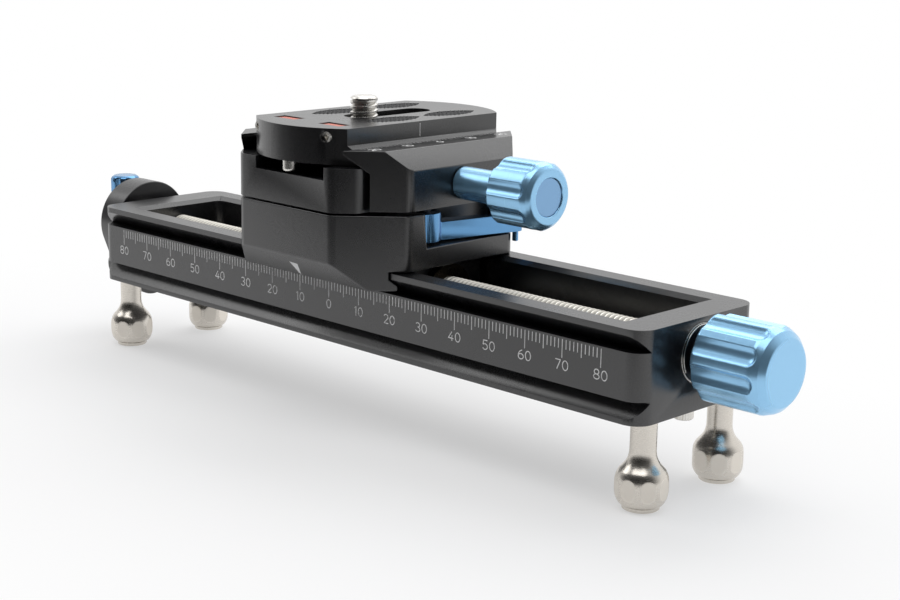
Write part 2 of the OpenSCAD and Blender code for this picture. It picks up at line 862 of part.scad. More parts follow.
module moving_jaw() {
    color([0.05, 0.05, 0.06])
    translate([carriage_x, 0, 0])
    difference() {
        intersection() {
            octagon(jaw_hx, car_hy, car_oct, body_z, jaw_zt - body_z);
            sweep_y(car_hy)
            polygon([[jaw_in, body_z + jaw_up], [jaw_hx, body_z + jaw_up],
                [jaw_hx, jaw_zt - jaw_bevel], [jaw_hx - jaw_bevel, jaw_zt],
                [jaw_sum - jaw_zt + jaw_lip, jaw_zt],
                [jaw_sum - jaw_zt + jaw_lip, jaw_zt - jaw_lip],
                [jaw_in, jaw_sum - jaw_in]]);
        }
        for (s = [-1, 1])
            translate([jaw_in - over, s * guide_y, clamp_z])
            rotate([0, 90, 0])
            cylinder(r = guide_r, h = (jaw_hx - jaw_in) / 2 + over);
        translate([jaw_in - over, 0, clamp_z])
        rotate([0, 90, 0])
        cylinder(r = clamp_r + fit, h = jaw_hx);
    }
}

module guide_pins() {
    color([0.78, 0.78, 0.80])
    translate([carriage_x, 0, 0])
    for (s = [-1, 1])
        translate([body_in - guide_l, s * guide_y, clamp_z])
        rotate([0, 90, 0])
        cylinder(r = guide_r, h = guide_l + jaw_in - body_in + (jaw_hx - jaw_in) / 2);
}

// puts a part on the clamp screw's axis, dx from the middle of the clamp
module on_clamp(dx) {
    translate([carriage_x + dx, 0, clamp_z])
    rotate([0, 90, 0])
    children();
}

module clamp_screw() {
    color([0.62, 0.62, 0.64])
    on_clamp(body_in - clamp_l)
    cylinder(r = clamp_r, h = jaw_hx + gap - body_in + clamp_l);
}

module clamp_neck() {
    color([0.22, 0.50, 0.80])
    on_clamp(jaw_hx + gap)
    cylinder(r = neck2_r, h = neck2_l - gap);
}

module clamp_knob() {
    color([0.22, 0.50, 0.80])
    difference() {
        on_clamp(jaw_hx + neck2_l)
        fluted_knob(knob2_r, knob2_l, knob2_face_r, knob2_cone);
        on_clamp(jaw_hx + neck2_l + knob2_l - cap_d)
        cylinder(r = cap_r + gap / 2, h = cap_d + over);
    }
}

module clamp_cap() {
    color([0.18, 0.42, 0.72])
    on_clamp(jaw_hx + neck2_l + knob2_l - cap_d)
    cylinder(r = cap_r, h = cap_d - gap);
}

// the plate's outline seen from above: two round ends
module plate_plan(z, h) {
    for (s = [-1, 1])
        translate([0, s * end_y, z])
        cylinder(r = plate_end_r, h = h, $fn = 180);
}

// a slot along Y from the near to the far end of the camera screw's travel
module screw_slot(r, z, h) {
    translate([0, slot_near, z])
    cylinder(r = r, h = h);
    translate([0, slot_end, z])
    cylinder(r = r, h = h);
    translate([-r, slot_near, z])
    cube([2 * r, slot_end - slot_near, h]);
}

// an almond: the overlap of two discs
module almond(a, b, h) {
    r = (a * a + b * b) / (2 * b);
    intersection() {
        translate([r - b, 0, 0])
        cylinder(r = r, h = h);
        translate([b - r, 0, 0])
        cylinder(r = r, h = h);
    }
}

module at_leaves(z) {
    for (sx = [-1, 1])
        for (y = [leaf_near, leaf_far])
            translate([sx * leaf_x, y, z])
            children();
}

module at_reds(z) {
    for (sx = [-1, 1])
        translate([sx * red_off - red_x / 2, red_at - red_y / 2, z])
        children();
}

module at_grubs() {
    arc_y = end_y + sqrt(plate_end_r * plate_end_r - grub_x * grub_x);
    for (sx = [-1, 1])
        for (sy = [-1, 1])
            translate([sx * grub_x, sy * (arc_y - grub_l), plate_zt - grub_z])
            rotate([-sy * 90, 0, 0])
            children();
}

module quick_plate() {
    neck_z = plate_sum - plate_hx;
    color([0.05, 0.05, 0.06])
    translate([carriage_x, 0, 0])
    difference() {
        intersection() {
            plate_plan(plate_z, plate_t);
            sweep_y(plate_hy)
            polygon([[-plate_foot, plate_z], [plate_foot, plate_z],
                [plate_foot, plate_z + plate_edge], [plate_hx, neck_z],
                [plate_hx, plate_zt], [-plate_hx, plate_zt], [-plate_hx, neck_z],
                [-plate_foot, plate_z + plate_edge]]);
        }
        screw_slot(cam_r + slot_fit, plate_z - over, plate_t + 2 * over);
        screw_slot(cam_head_r + slot_fit, plate_z - over, clip_z + clip_h + gap - plate_z + over);
        at_leaves(plate_zt - leaf_d)
        almond(leaf_a, leaf_b, leaf_d + over);
        at_reds(plate_zt - red_d)
        cube([red_x, red_y, red_d + over]);
        for (s = [-1, 1])
            translate([0, s * pin_y, plate_z - over])
            cylinder(r = pin_r / 2, h = pin_h + over);
        at_grubs()
        cylinder(r = grub_r, h = grub_l + over);
    }
}

module plate_grips() {
    color([0.03, 0.03, 0.03])
    translate([carriage_x, 0, 0])
    at_leaves(plate_zt - leaf_d)
    almond(leaf_a, leaf_b, leaf_d + leaf_up);
}

module red_pads() {
    color([0.80, 0.15, 0.12])
    translate([carriage_x, 0, 0])
    at_reds(plate_zt - red_d)
    cube([red_x, red_y, red_t]);
}

module stop_pins() {
    color([0.78, 0.77, 0.74])
    translate([carriage_x, 0, 0])
    for (s = [-1, 1])
        translate([0, s * pin_y, plate_z])
        union() {
            translate([0, 0, -pin_h])
            cylinder(r = pin_r, h = pin_h);
            cylinder(r = pin_r / 2, h = pin_h);
        }
}

module set_screws() {
    color([0.30, 0.30, 0.32])
    translate([carriage_x, 0, 0])
    at_grubs()
    difference() {
        cylinder(r = grub_r, h = grub_l - gap);
        translate([0, 0, grub_l - gap])
        hex_socket(grub_r * 0.6, hex_d);
    }
}

module screw_clip() {
    color([0.20, 0.20, 0.21])
    translate([carriage_x, cam_y, clip_z])
    difference() {
        cylinder(r = cam_head_r, h = clip_h);
        translate([0, 0, -over])
        cylinder(r = cam_neck_r + fit, h = clip_h + 2 * over);
    }
}

module camera_screw() {
    color([0.78, 0.77, 0.74])
    translate([carriage_x, cam_y, cam_z])
    difference() {
        union() {
            cylinder(r = cam_head_r, h = cam_head_h);
            cylinder(r = cam_neck_r, h = thread_z + gap - cam_z);
            translate([0, 0, thread_z - cam_z])
            cylinder(r = cam_r, h = plate_zt + cam_up - thread_z);
        }
        translate([-cam_head_r - over, -hex_d / 2, -over])
        cube([2 * cam_head_r + 2 * over, hex_d, hex_d + over]);
    }
}

rail_frame();
bearing_right();
bearing_left();
ring_right();
ring_left();
rail_stop_screws();
leg_front_right();
leg_back_right();
leg_front_left();
leg_back_left();
lead_screw();
drive_hub();
drive_knob();
crank_hub();
crank_arm();
crank_screw();
fold_pin();
crank_stem();
crank_grip();
carriage();
nut_block();
drive_nut();
nut_screws();
lever_post();
lock_lever();
pan_pivot();
clamp_body();
moving_jaw();
guide_pins();
clamp_screw();
clamp_neck();
clamp_knob();
clamp_cap();
quick_plate();
plate_grips();
red_pads();
stop_pins();
set_screws();
screw_clip();
camera_screw();
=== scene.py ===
# Looks of a macro focusing rail: a dovetail rail on four legs, a carriage on a lead screw, a
# panning clamp and a quick plate with a camera screw. Lengths are metres, in the CAD's frame:
# X runs along the rail towards the drive knob, -Y is the ruler's side, Z is up.
import math

import bmesh
import bpy
import numpy as np
from bpy.props import FloatProperty, FloatVectorProperty, IntProperty, PointerProperty
from mathutils import Matrix, Vector


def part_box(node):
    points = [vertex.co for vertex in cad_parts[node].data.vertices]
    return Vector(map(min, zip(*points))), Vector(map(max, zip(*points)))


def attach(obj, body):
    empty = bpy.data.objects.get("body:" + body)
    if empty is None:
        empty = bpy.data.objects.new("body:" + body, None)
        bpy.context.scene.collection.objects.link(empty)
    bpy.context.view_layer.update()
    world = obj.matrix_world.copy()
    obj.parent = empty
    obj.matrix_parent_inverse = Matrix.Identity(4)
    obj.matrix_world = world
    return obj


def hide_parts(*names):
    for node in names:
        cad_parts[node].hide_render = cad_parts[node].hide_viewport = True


bl_info = {
    "name": "Macro rail looks",
    "version": (1, 0, 0),
    "blender": (4, 5, 0),
    "location": "3D View > Sidebar > Macro Rail",
    "description": "Marks, threads, knurls, rubber and finishes of a macro focusing rail",
    "category": "Object",
}

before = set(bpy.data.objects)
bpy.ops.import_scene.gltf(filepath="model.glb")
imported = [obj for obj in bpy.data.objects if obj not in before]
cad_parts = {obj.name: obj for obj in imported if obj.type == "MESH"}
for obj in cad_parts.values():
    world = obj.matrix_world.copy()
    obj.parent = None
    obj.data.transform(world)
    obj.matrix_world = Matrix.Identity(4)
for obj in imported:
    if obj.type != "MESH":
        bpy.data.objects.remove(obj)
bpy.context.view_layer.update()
FINISHES = {}

MM = 0.001
DRIVE_AXIS, CLAMP_AXIS = 0.0302, 0.0561  # heights of the lead screw's and the clamp screw's axes
FINE_RELIEF, RELIEF = 0.00002, 0.00003  # heights of the bump on machined faces and on the others


# Sizes and colours that a user would change


def size(name, text, default):
    return FloatProperty(name=name, description=text, default=default, min=0.0, unit="LENGTH",
                         precision=5)


def place(name, text, default):
    return FloatProperty(name=name, description=text, default=default, unit="LENGTH", precision=5)


def colour(name, text, default):
    return FloatVectorProperty(
        name=name, description=text, default=default, size=3, min=0.0, max=1.0, subtype="COLOR"
    )


def share(name, text, default):
    return FloatProperty(name=name, description=text, default=default, min=0.0, max=1.0,
                         subtype="FACTOR")


class RailColours(bpy.types.PropertyGroup):
    black: colour("Black", "Black anodised aluminium", (0.0065, 0.0065, 0.0078))
    hub: colour("Hub", "Semi-gloss black of the hubs and bushes", (0.0070, 0.0085, 0.0120))
    blue: colour("Blue", "Bright blue anodised knobs", (0.340, 0.655, 0.980))
    # Darker than the knobs' blue; part of that is painted shade, set darker for the shade the lock lever
    # lies in under the jaw.
    grip: colour("Small blue", "Lock lever and crank grip", (0.150, 0.350, 0.620))
    cap: colour("Cap", "Darker blue of the clamp knob's cap", (0.240, 0.450, 0.720))
    legs: colour("Legs", "Turned stainless steel", (0.700, 0.660, 0.600))
    thread: colour("Thread", "Rolled lead screw", (0.930, 0.900, 0.820))
    plated: colour("Plated", "Nickel plated pins and rings", (0.780, 0.760, 0.720))
    oxide: colour("Black steel", "Black oxide screws", (0.060, 0.060, 0.065))
    bronze: colour("Bronze", "Nut of the lead screw", (0.060, 0.050, 0.035))
    rubber: colour("Rubber", "Ribbed grips on the plate", (0.040, 0.040, 0.042))
    red: colour("Red", "Red pads at the plate's near end", (0.640, 0.180, 0.140))
    print_white: colour("Marks", "Printed ticks, numbers and pointer", (0.820, 0.820, 0.820))


class RailEdges(bpy.types.PropertyGroup):
    round_off: size("Edge rounding", "Rounding of the machined edges", 0.00030)
    corner: size("Corner rounding", "Rounding of the upright corners of carriage, clamp and jaw", 0.0012)
    grain: share("Blasting", "Strength of the fine grain in the black finish", 0.22)
    # Painted highlight: how much lighter the black is drawn along its edges, for the light they catch.
    wear: share("Edge shine", "How much lighter the black is along its edges", 0.35)


class RailMarks(bpy.types.PropertyGroup):
    face_y: place("Ruler face", "Place of the ruler's face along Y", -0.0190)
    top_z: place("Tick tops", "Height of the tops of the ticks", 0.03256)
    long_tick: size("Long tick", "Length of every tenth tick", 0.0039)
    half_tick: size("Half tick", "Length of the ticks between them", 0.0029)
    short_tick: size("Short tick", "Length of the other ticks", 0.0020)
    tick_width: size("Tick width", "Width of a tick", 0.00019)
    digit_height: size("Digit height", "Height of the ruler's digits", 0.00208)
    stroke: size("Stroke", "Width of a digit's stroke", 0.00022)
    paint: size("Paint", "Height of the paint above the face", 0.00002)
    reach: IntProperty(name="Reach", description="Millimetres on each side of zero", default=80, min=10)


class RailThreads(bpy.types.PropertyGroup):
    lead: size("Lead", "Pitch of the lead screw", 0.00125)
    lead_depth: size("Lead depth", "Depth of the lead screw's thread", 0.00062)
    camera_pitch: size("Camera pitch", "Pitch of the camera screw", 0.00127)
    camera_depth: size("Camera depth", "Depth of the camera screw's thread", 0.00045)
    knurl: size("Knurl", "Depth of the knurls on the small screws", 0.00012)
    rib_pitch: size("Rib pitch", "Distance between the ribs of the rubber grips", 0.00130)
    rib_height: size("Rib height", "Height of the ribs", 0.00042)


class RailStudio(bpy.types.PropertyGroup):
    eye: FloatVectorProperty(
        name="Eye", description="Place of the camera", default=(0.28104, -0.26738, 0.11693),
        size=3, unit="LENGTH", subtype="TRANSLATION",
    )
    azimuth: FloatProperty(name="Azimuth", description="Heading of the camera round the rail",
                           default=math.radians(44.31), unit="ROTATION")
    elevation: FloatProperty(name="Elevation", description="Height of the camera above the horizon",
                             default=math.radians(13.29), unit="ROTATION")
    roll: FloatProperty(name="Roll", description="Lean of the camera",
                        default=math.radians(0.97), unit="ROTATION")
    lens: FloatProperty(name="Lens", description="Focal length on a 36 mm wide frame", default=67.55,
                        min=10.0, unit="CAMERA")
    floor: colour("Floor", "Colour of the plain floor", (0.90, 0.90, 0.91))
    table: size("Table edge", "Distance of the table's near edge from the rail", 0.19)
    key_power: FloatProperty(name="Key", description="Power of the softbox behind", default=2.6,
                             min=0.0, unit="POWER")
    side_power: FloatProperty(name="Side", description="Power of the softbox on the left", default=0.9,
                              min=0.0, unit="POWER")
    front_power: FloatProperty(name="Front", description="Power of the overhead softbox in front",
                               default=2.8, min=0.0, unit="POWER")
    room: share("Room", "Level of the plain room light", 0.96)


# Shader maths as Python expressions


class Value:
    """A socket of a node tree. Arithmetic on it adds Math nodes; numbers alone stay in Python."""

    def __init__(self, nodes, socket):
        self.nodes, self.socket = nodes, socket

    def _math(self, kind, *values):
        return self.nodes.add("ShaderNodeMath", {"operation": kind}, *values)[0]

    def __add__(self, other):
        return self._math("ADD", self, other)

    def __sub__(self, other):
        return self._math("SUBTRACT", self, other)

    def __rsub__(self, other):
        return self._math("SUBTRACT", other, self)

    def __mul__(self, other):
        return self._math("MULTIPLY", self, other)

    def __truediv__(self, other):
        return self._math("DIVIDE", self, other)

    def root(self):
        return self._math("SQRT", self)

    def clipped(self):
        """The value kept within 0 and 1."""
        return self.nodes.add(
            "ShaderNodeMath", {"operation": "MULTIPLY", "use_clamp": True}, self, 1.0)[0]

    __radd__, __rmul__ = __add__, __mul__


class Nodes:
    """The node tree of one material or world, with one method for every kind of node."""

    def __init__(self, owner):
        owner.use_nodes = True
        self.tree = owner.node_tree
        self.tree.nodes.clear()

    def add(self, kind, settings=None, *values, **named):
        """Adds a node: its settings first, then the values or links of its sockets, by order or name.
        Returns its outputs as Values."""
        node = self.tree.nodes.new(kind)
        for key, value in (settings or {}).items():
            if key == "stops":
                ramp = node.color_ramp
                while len(ramp.elements) < len(value):
                    ramp.elements.new(0.5)
                for element, (at, level) in zip(ramp.elements, value):
                    element.position, element.color = at, (level, level, level, 1.0)
            else:
                setattr(node, key, value)
        pairs = list(zip(node.inputs, values))
        pairs += [(node.inputs[key.replace("_", " ")], value) for key, value in named.items()]
        for socket, value in pairs:
            if isinstance(value, Value):
                self.tree.links.new(value.socket, socket)
            elif isinstance(value, (tuple, list)) and len(value) == 3 and socket.type == "RGBA":
                socket.default_value = (*value, 1.0)
            else:
                socket.default_value = value
        return [Value(self, out) for out in node.outputs]

    def place(self):
        """The Object coordinates."""
        return self.add("ShaderNodeTexCoord")[3]

    def direction(self):
        """The Generated coordinates, which are the direction of the ray in a world."""
        return self.add("ShaderNodeTexCoord")[0]

    def rays(self):
        """Whether a ray comes from the camera, and whether it is a glossy or transmitted one."""
        path = self.add("ShaderNodeLightPath")
        camera, glossy, transmitted = path[0], path[3], path[6]
        return camera, (glossy + transmitted).clipped()

    def split(self, vector):
        return self.add("ShaderNodeSeparateXYZ", None, vector)

    def join(self, x, y, z):
        return self.add("ShaderNodeCombineXYZ", None, x, y, z)[0]

    def greater(self, first, second):
        return self.add("ShaderNodeMath", {"operation": "MAXIMUM"}, first, second)[0]

    def noise(self, vector, scale, detail=2.0, rough=0.5):
        return self.add("ShaderNodeTexNoise", None, Vector=vector, Scale=scale, Detail=detail,
                        Roughness=rough)[0]

    def ramp(self, value, *stops):
        return self.add("ShaderNodeValToRGB", {"stops": stops}, value)[0]

    def blend(self, part, first, second):
        """Mixes two colours: part of the second, the rest of the first."""
        node = self.tree.nodes.new("ShaderNodeMix")
        node.data_type = "RGBA"
        factor, one, two = node.inputs[0], node.inputs[6], node.inputs[7]
        for socket, value in ((factor, part), (one, first), (two, second)):
            if isinstance(value, Value):
                self.tree.links.new(value.socket, socket)
            elif isinstance(value, (int, float)):
                socket.default_value = value
            else:
                socket.default_value = (*value, 1.0)
        return Value(self, node.outputs[2])

    def bump(self, height, strength, distance):
        return self.add("ShaderNodeBump", None, Strength=strength, Distance=distance, Height=height)[0]

    def surface(self, **sockets):
        """Closes the material with a Principled shader."""
        shader = self.add("ShaderNodeBsdfPrincipled", None, **sockets)[0]
        self.add("ShaderNodeOutputMaterial", None, shader)


def finish(name, sheet):
    """Makes a finish once, from a function that fills in its nodes, and keeps it by name."""
    if name not in FINISHES:
        material = bpy.data.materials.new("finish_" + name)
        sheet(Nodes(material))
        FINISHES[name] = material
    return FINISHES[name]


def lighter(rgb, by):
    return tuple(min(1.0, c * by) for c in rgb)


def satin_black(rgb, grain, wear):
    """Blasted and anodised aluminium: a fine even grain, faint clouds in the gloss and a painted
    highlight, a lighter tone where the surface turns sharply at an edge."""
    cloud_scale, speck_scale = 60.0, 9000.0
    edge_reach, edge_gain, highlight_tone = 0.00035, 6.0, 4.5

    def sheet(n):
        at = n.place()
        clouds = n.noise(at, cloud_scale, 3.0, 0.55)
        speck = n.noise(at, speck_scale, 2.0, 0.6)
        # Painted highlight: where the bevelled normal turns away from the face's own, the black is drawn
        # lighter.
        soft = n.add("ShaderNodeBevel", {"samples": 4}, edge_reach)[0]
        flat = n.add("ShaderNodeNewGeometry")[1]
        along = n.add("ShaderNodeVectorMath", {"operation": "DOT_PRODUCT"}, soft, flat)[1]
        edge = ((1.0 - along) * edge_gain).clipped()
        tone = n.blend(clouds * 0.5 + speck * 0.3, lighter(rgb, 0.86), lighter(rgb, 1.22))
        tone = n.blend(edge * wear, tone, lighter(rgb, highlight_tone))
        n.surface(Base_Color=tone, Roughness=0.22 + clouds * 0.07 + speck * 0.05, Metallic=0.0,
                  IOR=1.80, Normal=n.bump(speck, grain, FINE_RELIEF))

    return sheet


def hub_black(rgb):
    """Semi-gloss black with faint turning lines."""
    line_scale, cloud_scale = 9000.0, 120.0

    def sheet(n):
        at = n.place()
        x, _, _ = n.split(at)
        lines = n.noise(n.join(x * line_scale, 0.0, 0.0), 1.0, 2.0)
        clouds = n.noise(at, cloud_scale)
        tone = n.blend(clouds, lighter(rgb, 0.8), lighter(rgb, 1.3))
        n.surface(Base_Color=tone, Roughness=0.24 + lines * 0.08, Metallic=0.0, IOR=1.8,
                  Normal=n.bump(lines, 0.10, FINE_RELIEF))

    return sheet


def from_axis(n, at, height):
    """Distance from an axis that runs along X at a height, with the place along X."""
    x, y, z = n.split(at)
    up = z - height
    return x, (y * y + up * up).root()


def turned_blue(rgb, height):
    """Bright anodised aluminium, turned on a lathe whose axis runs along X at a height: fine lines
    round the side by the place along X, and rings on the end face by the distance from the axis."""
    ring_scales, band_scales, speck_scale = (5200.0, 2600.0), (700.0, 500.0), 2500.0

    def sheet(n):
        at = n.place()
        x, far = from_axis(n, at, height)
        rings = n.noise(n.join(x * ring_scales[0], far * ring_scales[1], 0.0), 1.0, 3.0, 0.6)
        bands = n.noise(n.join(x * band_scales[0], far * band_scales[1], 0.0), 1.0, 2.0)
        specks = n.noise(at, speck_scale, 1.0)
        mix = rings * 0.4 + bands * 0.4 + specks * 0.1
        tone = n.blend(mix, lighter(rgb, 0.94), lighter(rgb, 1.08))
        n.surface(Base_Color=tone, Roughness=0.22 + rings * 0.05 + bands * 0.03, Metallic=0.72,
                  Coat_Weight=0.25, Coat_Roughness=0.12, Coat_IOR=1.5,
                  Normal=n.bump(rings, 0.03, FINE_RELIEF))

    return sheet


def turned_steel(rgb, rough, strength):
    """Turned steel: lines round an upright axis by height, with broad soft tone changes. The milled
    flats, marked by the attribute, are matt and a little lighter."""
    line_scales, cloud_scale, speck_scale = (90.0, 7000.0), 260.0, 3600.0

    def sheet(n):
        at = n.place()
        x, y, z = n.split(at)
        across, up = line_scales
        lines = n.noise(n.join(x * across, y * across, z * up), 1.0, 3.0, 0.6)
        clouds = n.noise(at, cloud_scale, 3.0, 0.6)
        specks = n.noise(at, speck_scale, 2.0)
        milled = n.add("ShaderNodeAttribute", {"attribute_name": "milled"})[2].clipped()
        mix = lines * 0.4 + clouds * 0.4 + specks * 0.15
        tone = n.blend(mix, lighter(rgb, 0.86), lighter(rgb, 1.12))
        tone = n.blend(milled * 0.7, tone, lighter(rgb, 1.25))
        rub = lines * 0.08 + clouds * 0.06 + rough
        n.surface(Base_Color=tone, Roughness=rub + milled * 0.20, Metallic=1.0,
                  Normal=n.bump(lines + specks * 0.6, strength, RELIEF))

    return sheet


def plain_metal(rgb, rough, metal=1.0):
    """Small screws, pins, rings and the nut: fine specks and soft clouds in tone and gloss."""
    cloud_scale, speck_scale = 420.0, 5200.0

    def sheet(n):
        at = n.place()
        clouds = n.noise(at, cloud_scale, 3.0, 0.6)
        specks = n.noise(at, speck_scale, 2.0)
        tone = n.blend(clouds * 0.6 + specks * 0.2, lighter(rgb, 0.82), lighter(rgb, 1.14))
        n.surface(Base_Color=tone, Roughness=rough + clouds * 0.12, Metallic=metal,
                  Normal=n.bump(specks, 0.10, RELIEF))

    return sheet


def threaded_steel(rgb, rough, height, radius, depth):
    """A steel thread about an axis along X at a height: bright on the crests and dark in the roots,
    by the distance from the axis. This is painted light: a painted highlight on the crests and painted
    shade in the roots."""
    cloud_scale, crest_tone, root_shade_tone = 420.0, 1.06, 0.22

    def sheet(n):
        at = n.place()
        _, far = from_axis(n, at, height)
        sunk = ((radius - far) / depth).clipped()
        clouds = n.noise(at, cloud_scale, 3.0, 0.6)
        # Painted shade in the roots and a slight painted highlight on the crests, by the depth below the
        # crest.
        tone = n.blend(sunk, lighter(rgb, crest_tone), lighter(rgb, root_shade_tone))
        n.surface(Base_Color=tone, Roughness=rough + clouds * 0.12, Metallic=0.75,
                  Normal=n.bump(clouds, 0.05, RELIEF))

    return sheet


def matt_rubber(rgb):
    """Moulded rubber with a dusty bloom."""
    dust_scale, speck_scale = 1800.0, 12000.0

    def sheet(n):
        at = n.place()
        dust = n.noise(at, dust_scale, 4.0, 0.65)
        specks = n.noise(at, speck_scale, 2.0)
        tone = n.blend(dust * 0.5, lighter(rgb, 0.9), lighter(rgb, 2.4))
        n.surface(Base_Color=tone, Roughness=0.66 + specks * 0.16, Metallic=0.0,
                  Normal=n.bump(specks, 0.25, RELIEF))

    return sheet


def marking_paint(rgb):
    """Filled or printed marking paint, a little uneven."""
    patch_scale = 1500.0

    def sheet(n):
        uneven = n.noise(n.place(), patch_scale, 3.0)
        tone = n.blend(uneven, lighter(rgb, 0.9), lighter(rgb, 1.08))
        n.surface(Base_Color=tone, Roughness=0.46 + uneven * 0.12, Metallic=0.0)

    return sheet


# Surfaces as whole arrays


def round_x(centre, s, r, angle):
    """Points round an axis along X through centre: place s along it, radius r, angle from +Y up."""
    s, r, angle = np.broadcast_arrays(s, r, angle)
    return np.stack([centre[0] + s, centre[1] + r * np.cos(angle), centre[2] + r * np.sin(angle)], -1)


def round_z(centre, s, r, angle):
    """Points round an upright axis through centre: height s, radius r, angle from +X."""
    s, r, angle = np.broadcast_arrays(s, r, angle)
    return np.stack([centre[0] + r * np.cos(angle), centre[1] + r * np.sin(angle), centre[2] + s], -1)


def turn(count):
    """Angles once round, without the last, which is the first again."""
    return np.arange(count) * 2 * math.pi / count


def soft_least(a, b, width):
    """The lesser of two arrays, with the crossing rounded over a width."""
    mix = np.clip(0.5 + 0.5 * (b - a) / width, 0.0, 1.0)
    return b * (1 - mix) + a * mix - width * mix * (1 - mix)


def profile(points, steps):
    """A polyline of (place, radius) pairs, each stretch of it cut into its count of equal steps."""
    p = np.array(points, float)
    rows = [p[:1]]
    for a, b, k in zip(p[:-1], p[1:], steps):
        t = np.arange(1, k + 1)[:, None] / k
        rows.append(a + (b - a) * t)
    return np.concatenate(rows)


def quads(rows, cols, wrap, first):
    """Corner numbers of a grid of rows by cols points, numbered row by row from first."""
    across = cols if wrap else cols - 1
    i, j = np.meshgrid(np.arange(rows - 1), np.arange(across), indexing="ij")
    k = (j + 1) % cols
    here, above = i * cols, (i + 1) * cols
    return first + np.stack([here + j, here + k, above + k, above + j], -1).reshape(-1, 4)


def piece(name, grids, material, body, nodes=(), sharp=32.0, milled=None):
    """Makes one object of several grids. Each grid is (points of shape rows x cols x 3, wraps).
    Doubles are merged, which closes seams and poles, and normals are turned outwards. A function
    of the points may mark the milled ones in an attribute."""
    merge, sliver = 1e-7, 1e-8
    points, faces, first = [], [], 0
    for grid, wraps in grids:
        rows, cols = grid.shape[:2]
        points.append(grid.reshape(-1, 3))
        faces.append(quads(rows, cols, wraps, first))
        first += rows * cols
    mesh = bpy.data.meshes.new(name)
    mesh.from_pydata(np.concatenate(points).tolist(), [], np.concatenate(faces).tolist())
    shell = bmesh.new()
    shell.from_mesh(mesh)
    bmesh.ops.remove_doubles(shell, verts=shell.verts, dist=merge)
    bmesh.ops.dissolve_degenerate(shell, edges=shell.edges, dist=sliver)
    bmesh.ops.recalc_face_normals(shell, faces=shell.faces)
    shell.to_mesh(mesh)
    shell.free()
    mesh.polygons.foreach_set("use_smooth", np.ones(len(mesh.polygons), bool))
    mesh.set_sharp_from_angle(angle=math.radians(sharp))
    if milled:
        spots = np.empty(len(mesh.vertices) * 3, np.float32)
        mesh.vertices.foreach_get("co", spots)
        marks = mesh.attributes.new("milled", "FLOAT", "POINT")
        marks.data.foreach_set("value", milled(spots.reshape(-1, 3)).astype(np.float32))
    mesh.materials.append(material)
    made = bpy.data.objects.new(name, mesh)
    bpy.context.scene.collection.objects.link(made)
    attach(made, body)
    if nodes:
        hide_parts(*nodes)
    return made


def outer_uprights(shell, low, high, angle):
    """The long upright edges of a mesh that turn by more than an angle and lie on the outer planes
    of its box."""
    least_tall, straight_to, on_plane = 0.004, 1e-5, 1e-4
    found = []
    for edge in shell.edges:
        if len(edge.link_faces) != 2 or edge.calc_face_angle(0.0) < angle:
            continue
        a, b = (v.co for v in edge.verts)
        upright = abs(a.x - b.x) + abs(a.y - b.y) < straight_to and abs(a.z - b.z) > least_tall
        gaps = (abs(a.x - low.x), abs(a.x - high.x), abs(a.y - low.y), abs(a.y - high.y))
        if upright and min(gaps) < on_plane:
            found.append(edge)
    return found


def softened(node, material, body, width, corner=0.0, rise=0.0, overlap_clamp=True):
    """A copy of a CAD node with its doubles merged and its flat faces joined, and every sharp edge
    rounded by a live Bevel of a few steps. With a corner radius, the long upright edges on the
    outer planes of the node's box are rounded to it first. Points in the upper half are lifted
    by rise. The overlap clamp keeps the Bevel small where a node has slivers round its holes."""
    merge, flat, sharp = 2e-6, math.radians(0.05), math.radians(28.0)
    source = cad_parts[node]
    mesh = source.data.copy()
    mesh.name = node + "_soft"
    shell = bmesh.new()
    shell.from_mesh(mesh)
    bmesh.ops.remove_doubles(shell, verts=shell.verts, dist=merge)
    bmesh.ops.dissolve_degenerate(shell, edges=shell.edges, dist=merge)
    bmesh.ops.dissolve_limit(shell, angle_limit=flat, use_dissolve_boundaries=False,
                             verts=shell.verts, edges=shell.edges)
    low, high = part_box(node)
    for vert in shell.verts:
        vert.co.z += rise if vert.co.z > (low.z + high.z) / 2 else 0.0
    if corner:
        bmesh.ops.bevel(shell, geom=outer_uprights(shell, low, high, sharp), offset=corner,
                        offset_type="OFFSET", segments=5, profile=0.5, affect="EDGES",
                        clamp_overlap=False)
    shell.to_mesh(mesh)
    shell.free()
    mesh.polygons.foreach_set("use_smooth", np.ones(len(mesh.polygons), bool))
    mesh.set_sharp_from_angle(angle=sharp)
    mesh.materials.clear()
    mesh.materials.append(material)
    made = bpy.data.objects.new(node + "_soft", mesh)
    bpy.context.scene.collection.objects.link(made)
    bevel = made.modifiers.new("edges", "BEVEL")
    bevel.width, bevel.segments, bevel.limit_method = width, 2, "ANGLE"
    bevel.angle_limit, bevel.harden_normals = sharp, True
    bevel.use_clamp_overlap = overlap_clamp
    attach(made, body)
    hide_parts(node)
    return made


# Strokes of paint


def ellipse(cx, cy, rx, ry, a, b, count=14):
    """Part of an ellipse from angle a to b in degrees, as points."""
    t = np.radians(np.linspace(a, b, count))
    return np.stack([cx + rx * np.cos(t), cy + ry * np.sin(t)], -1)


def straight(*points):
    """Straight lines from point to point."""
    return np.array(points, float)


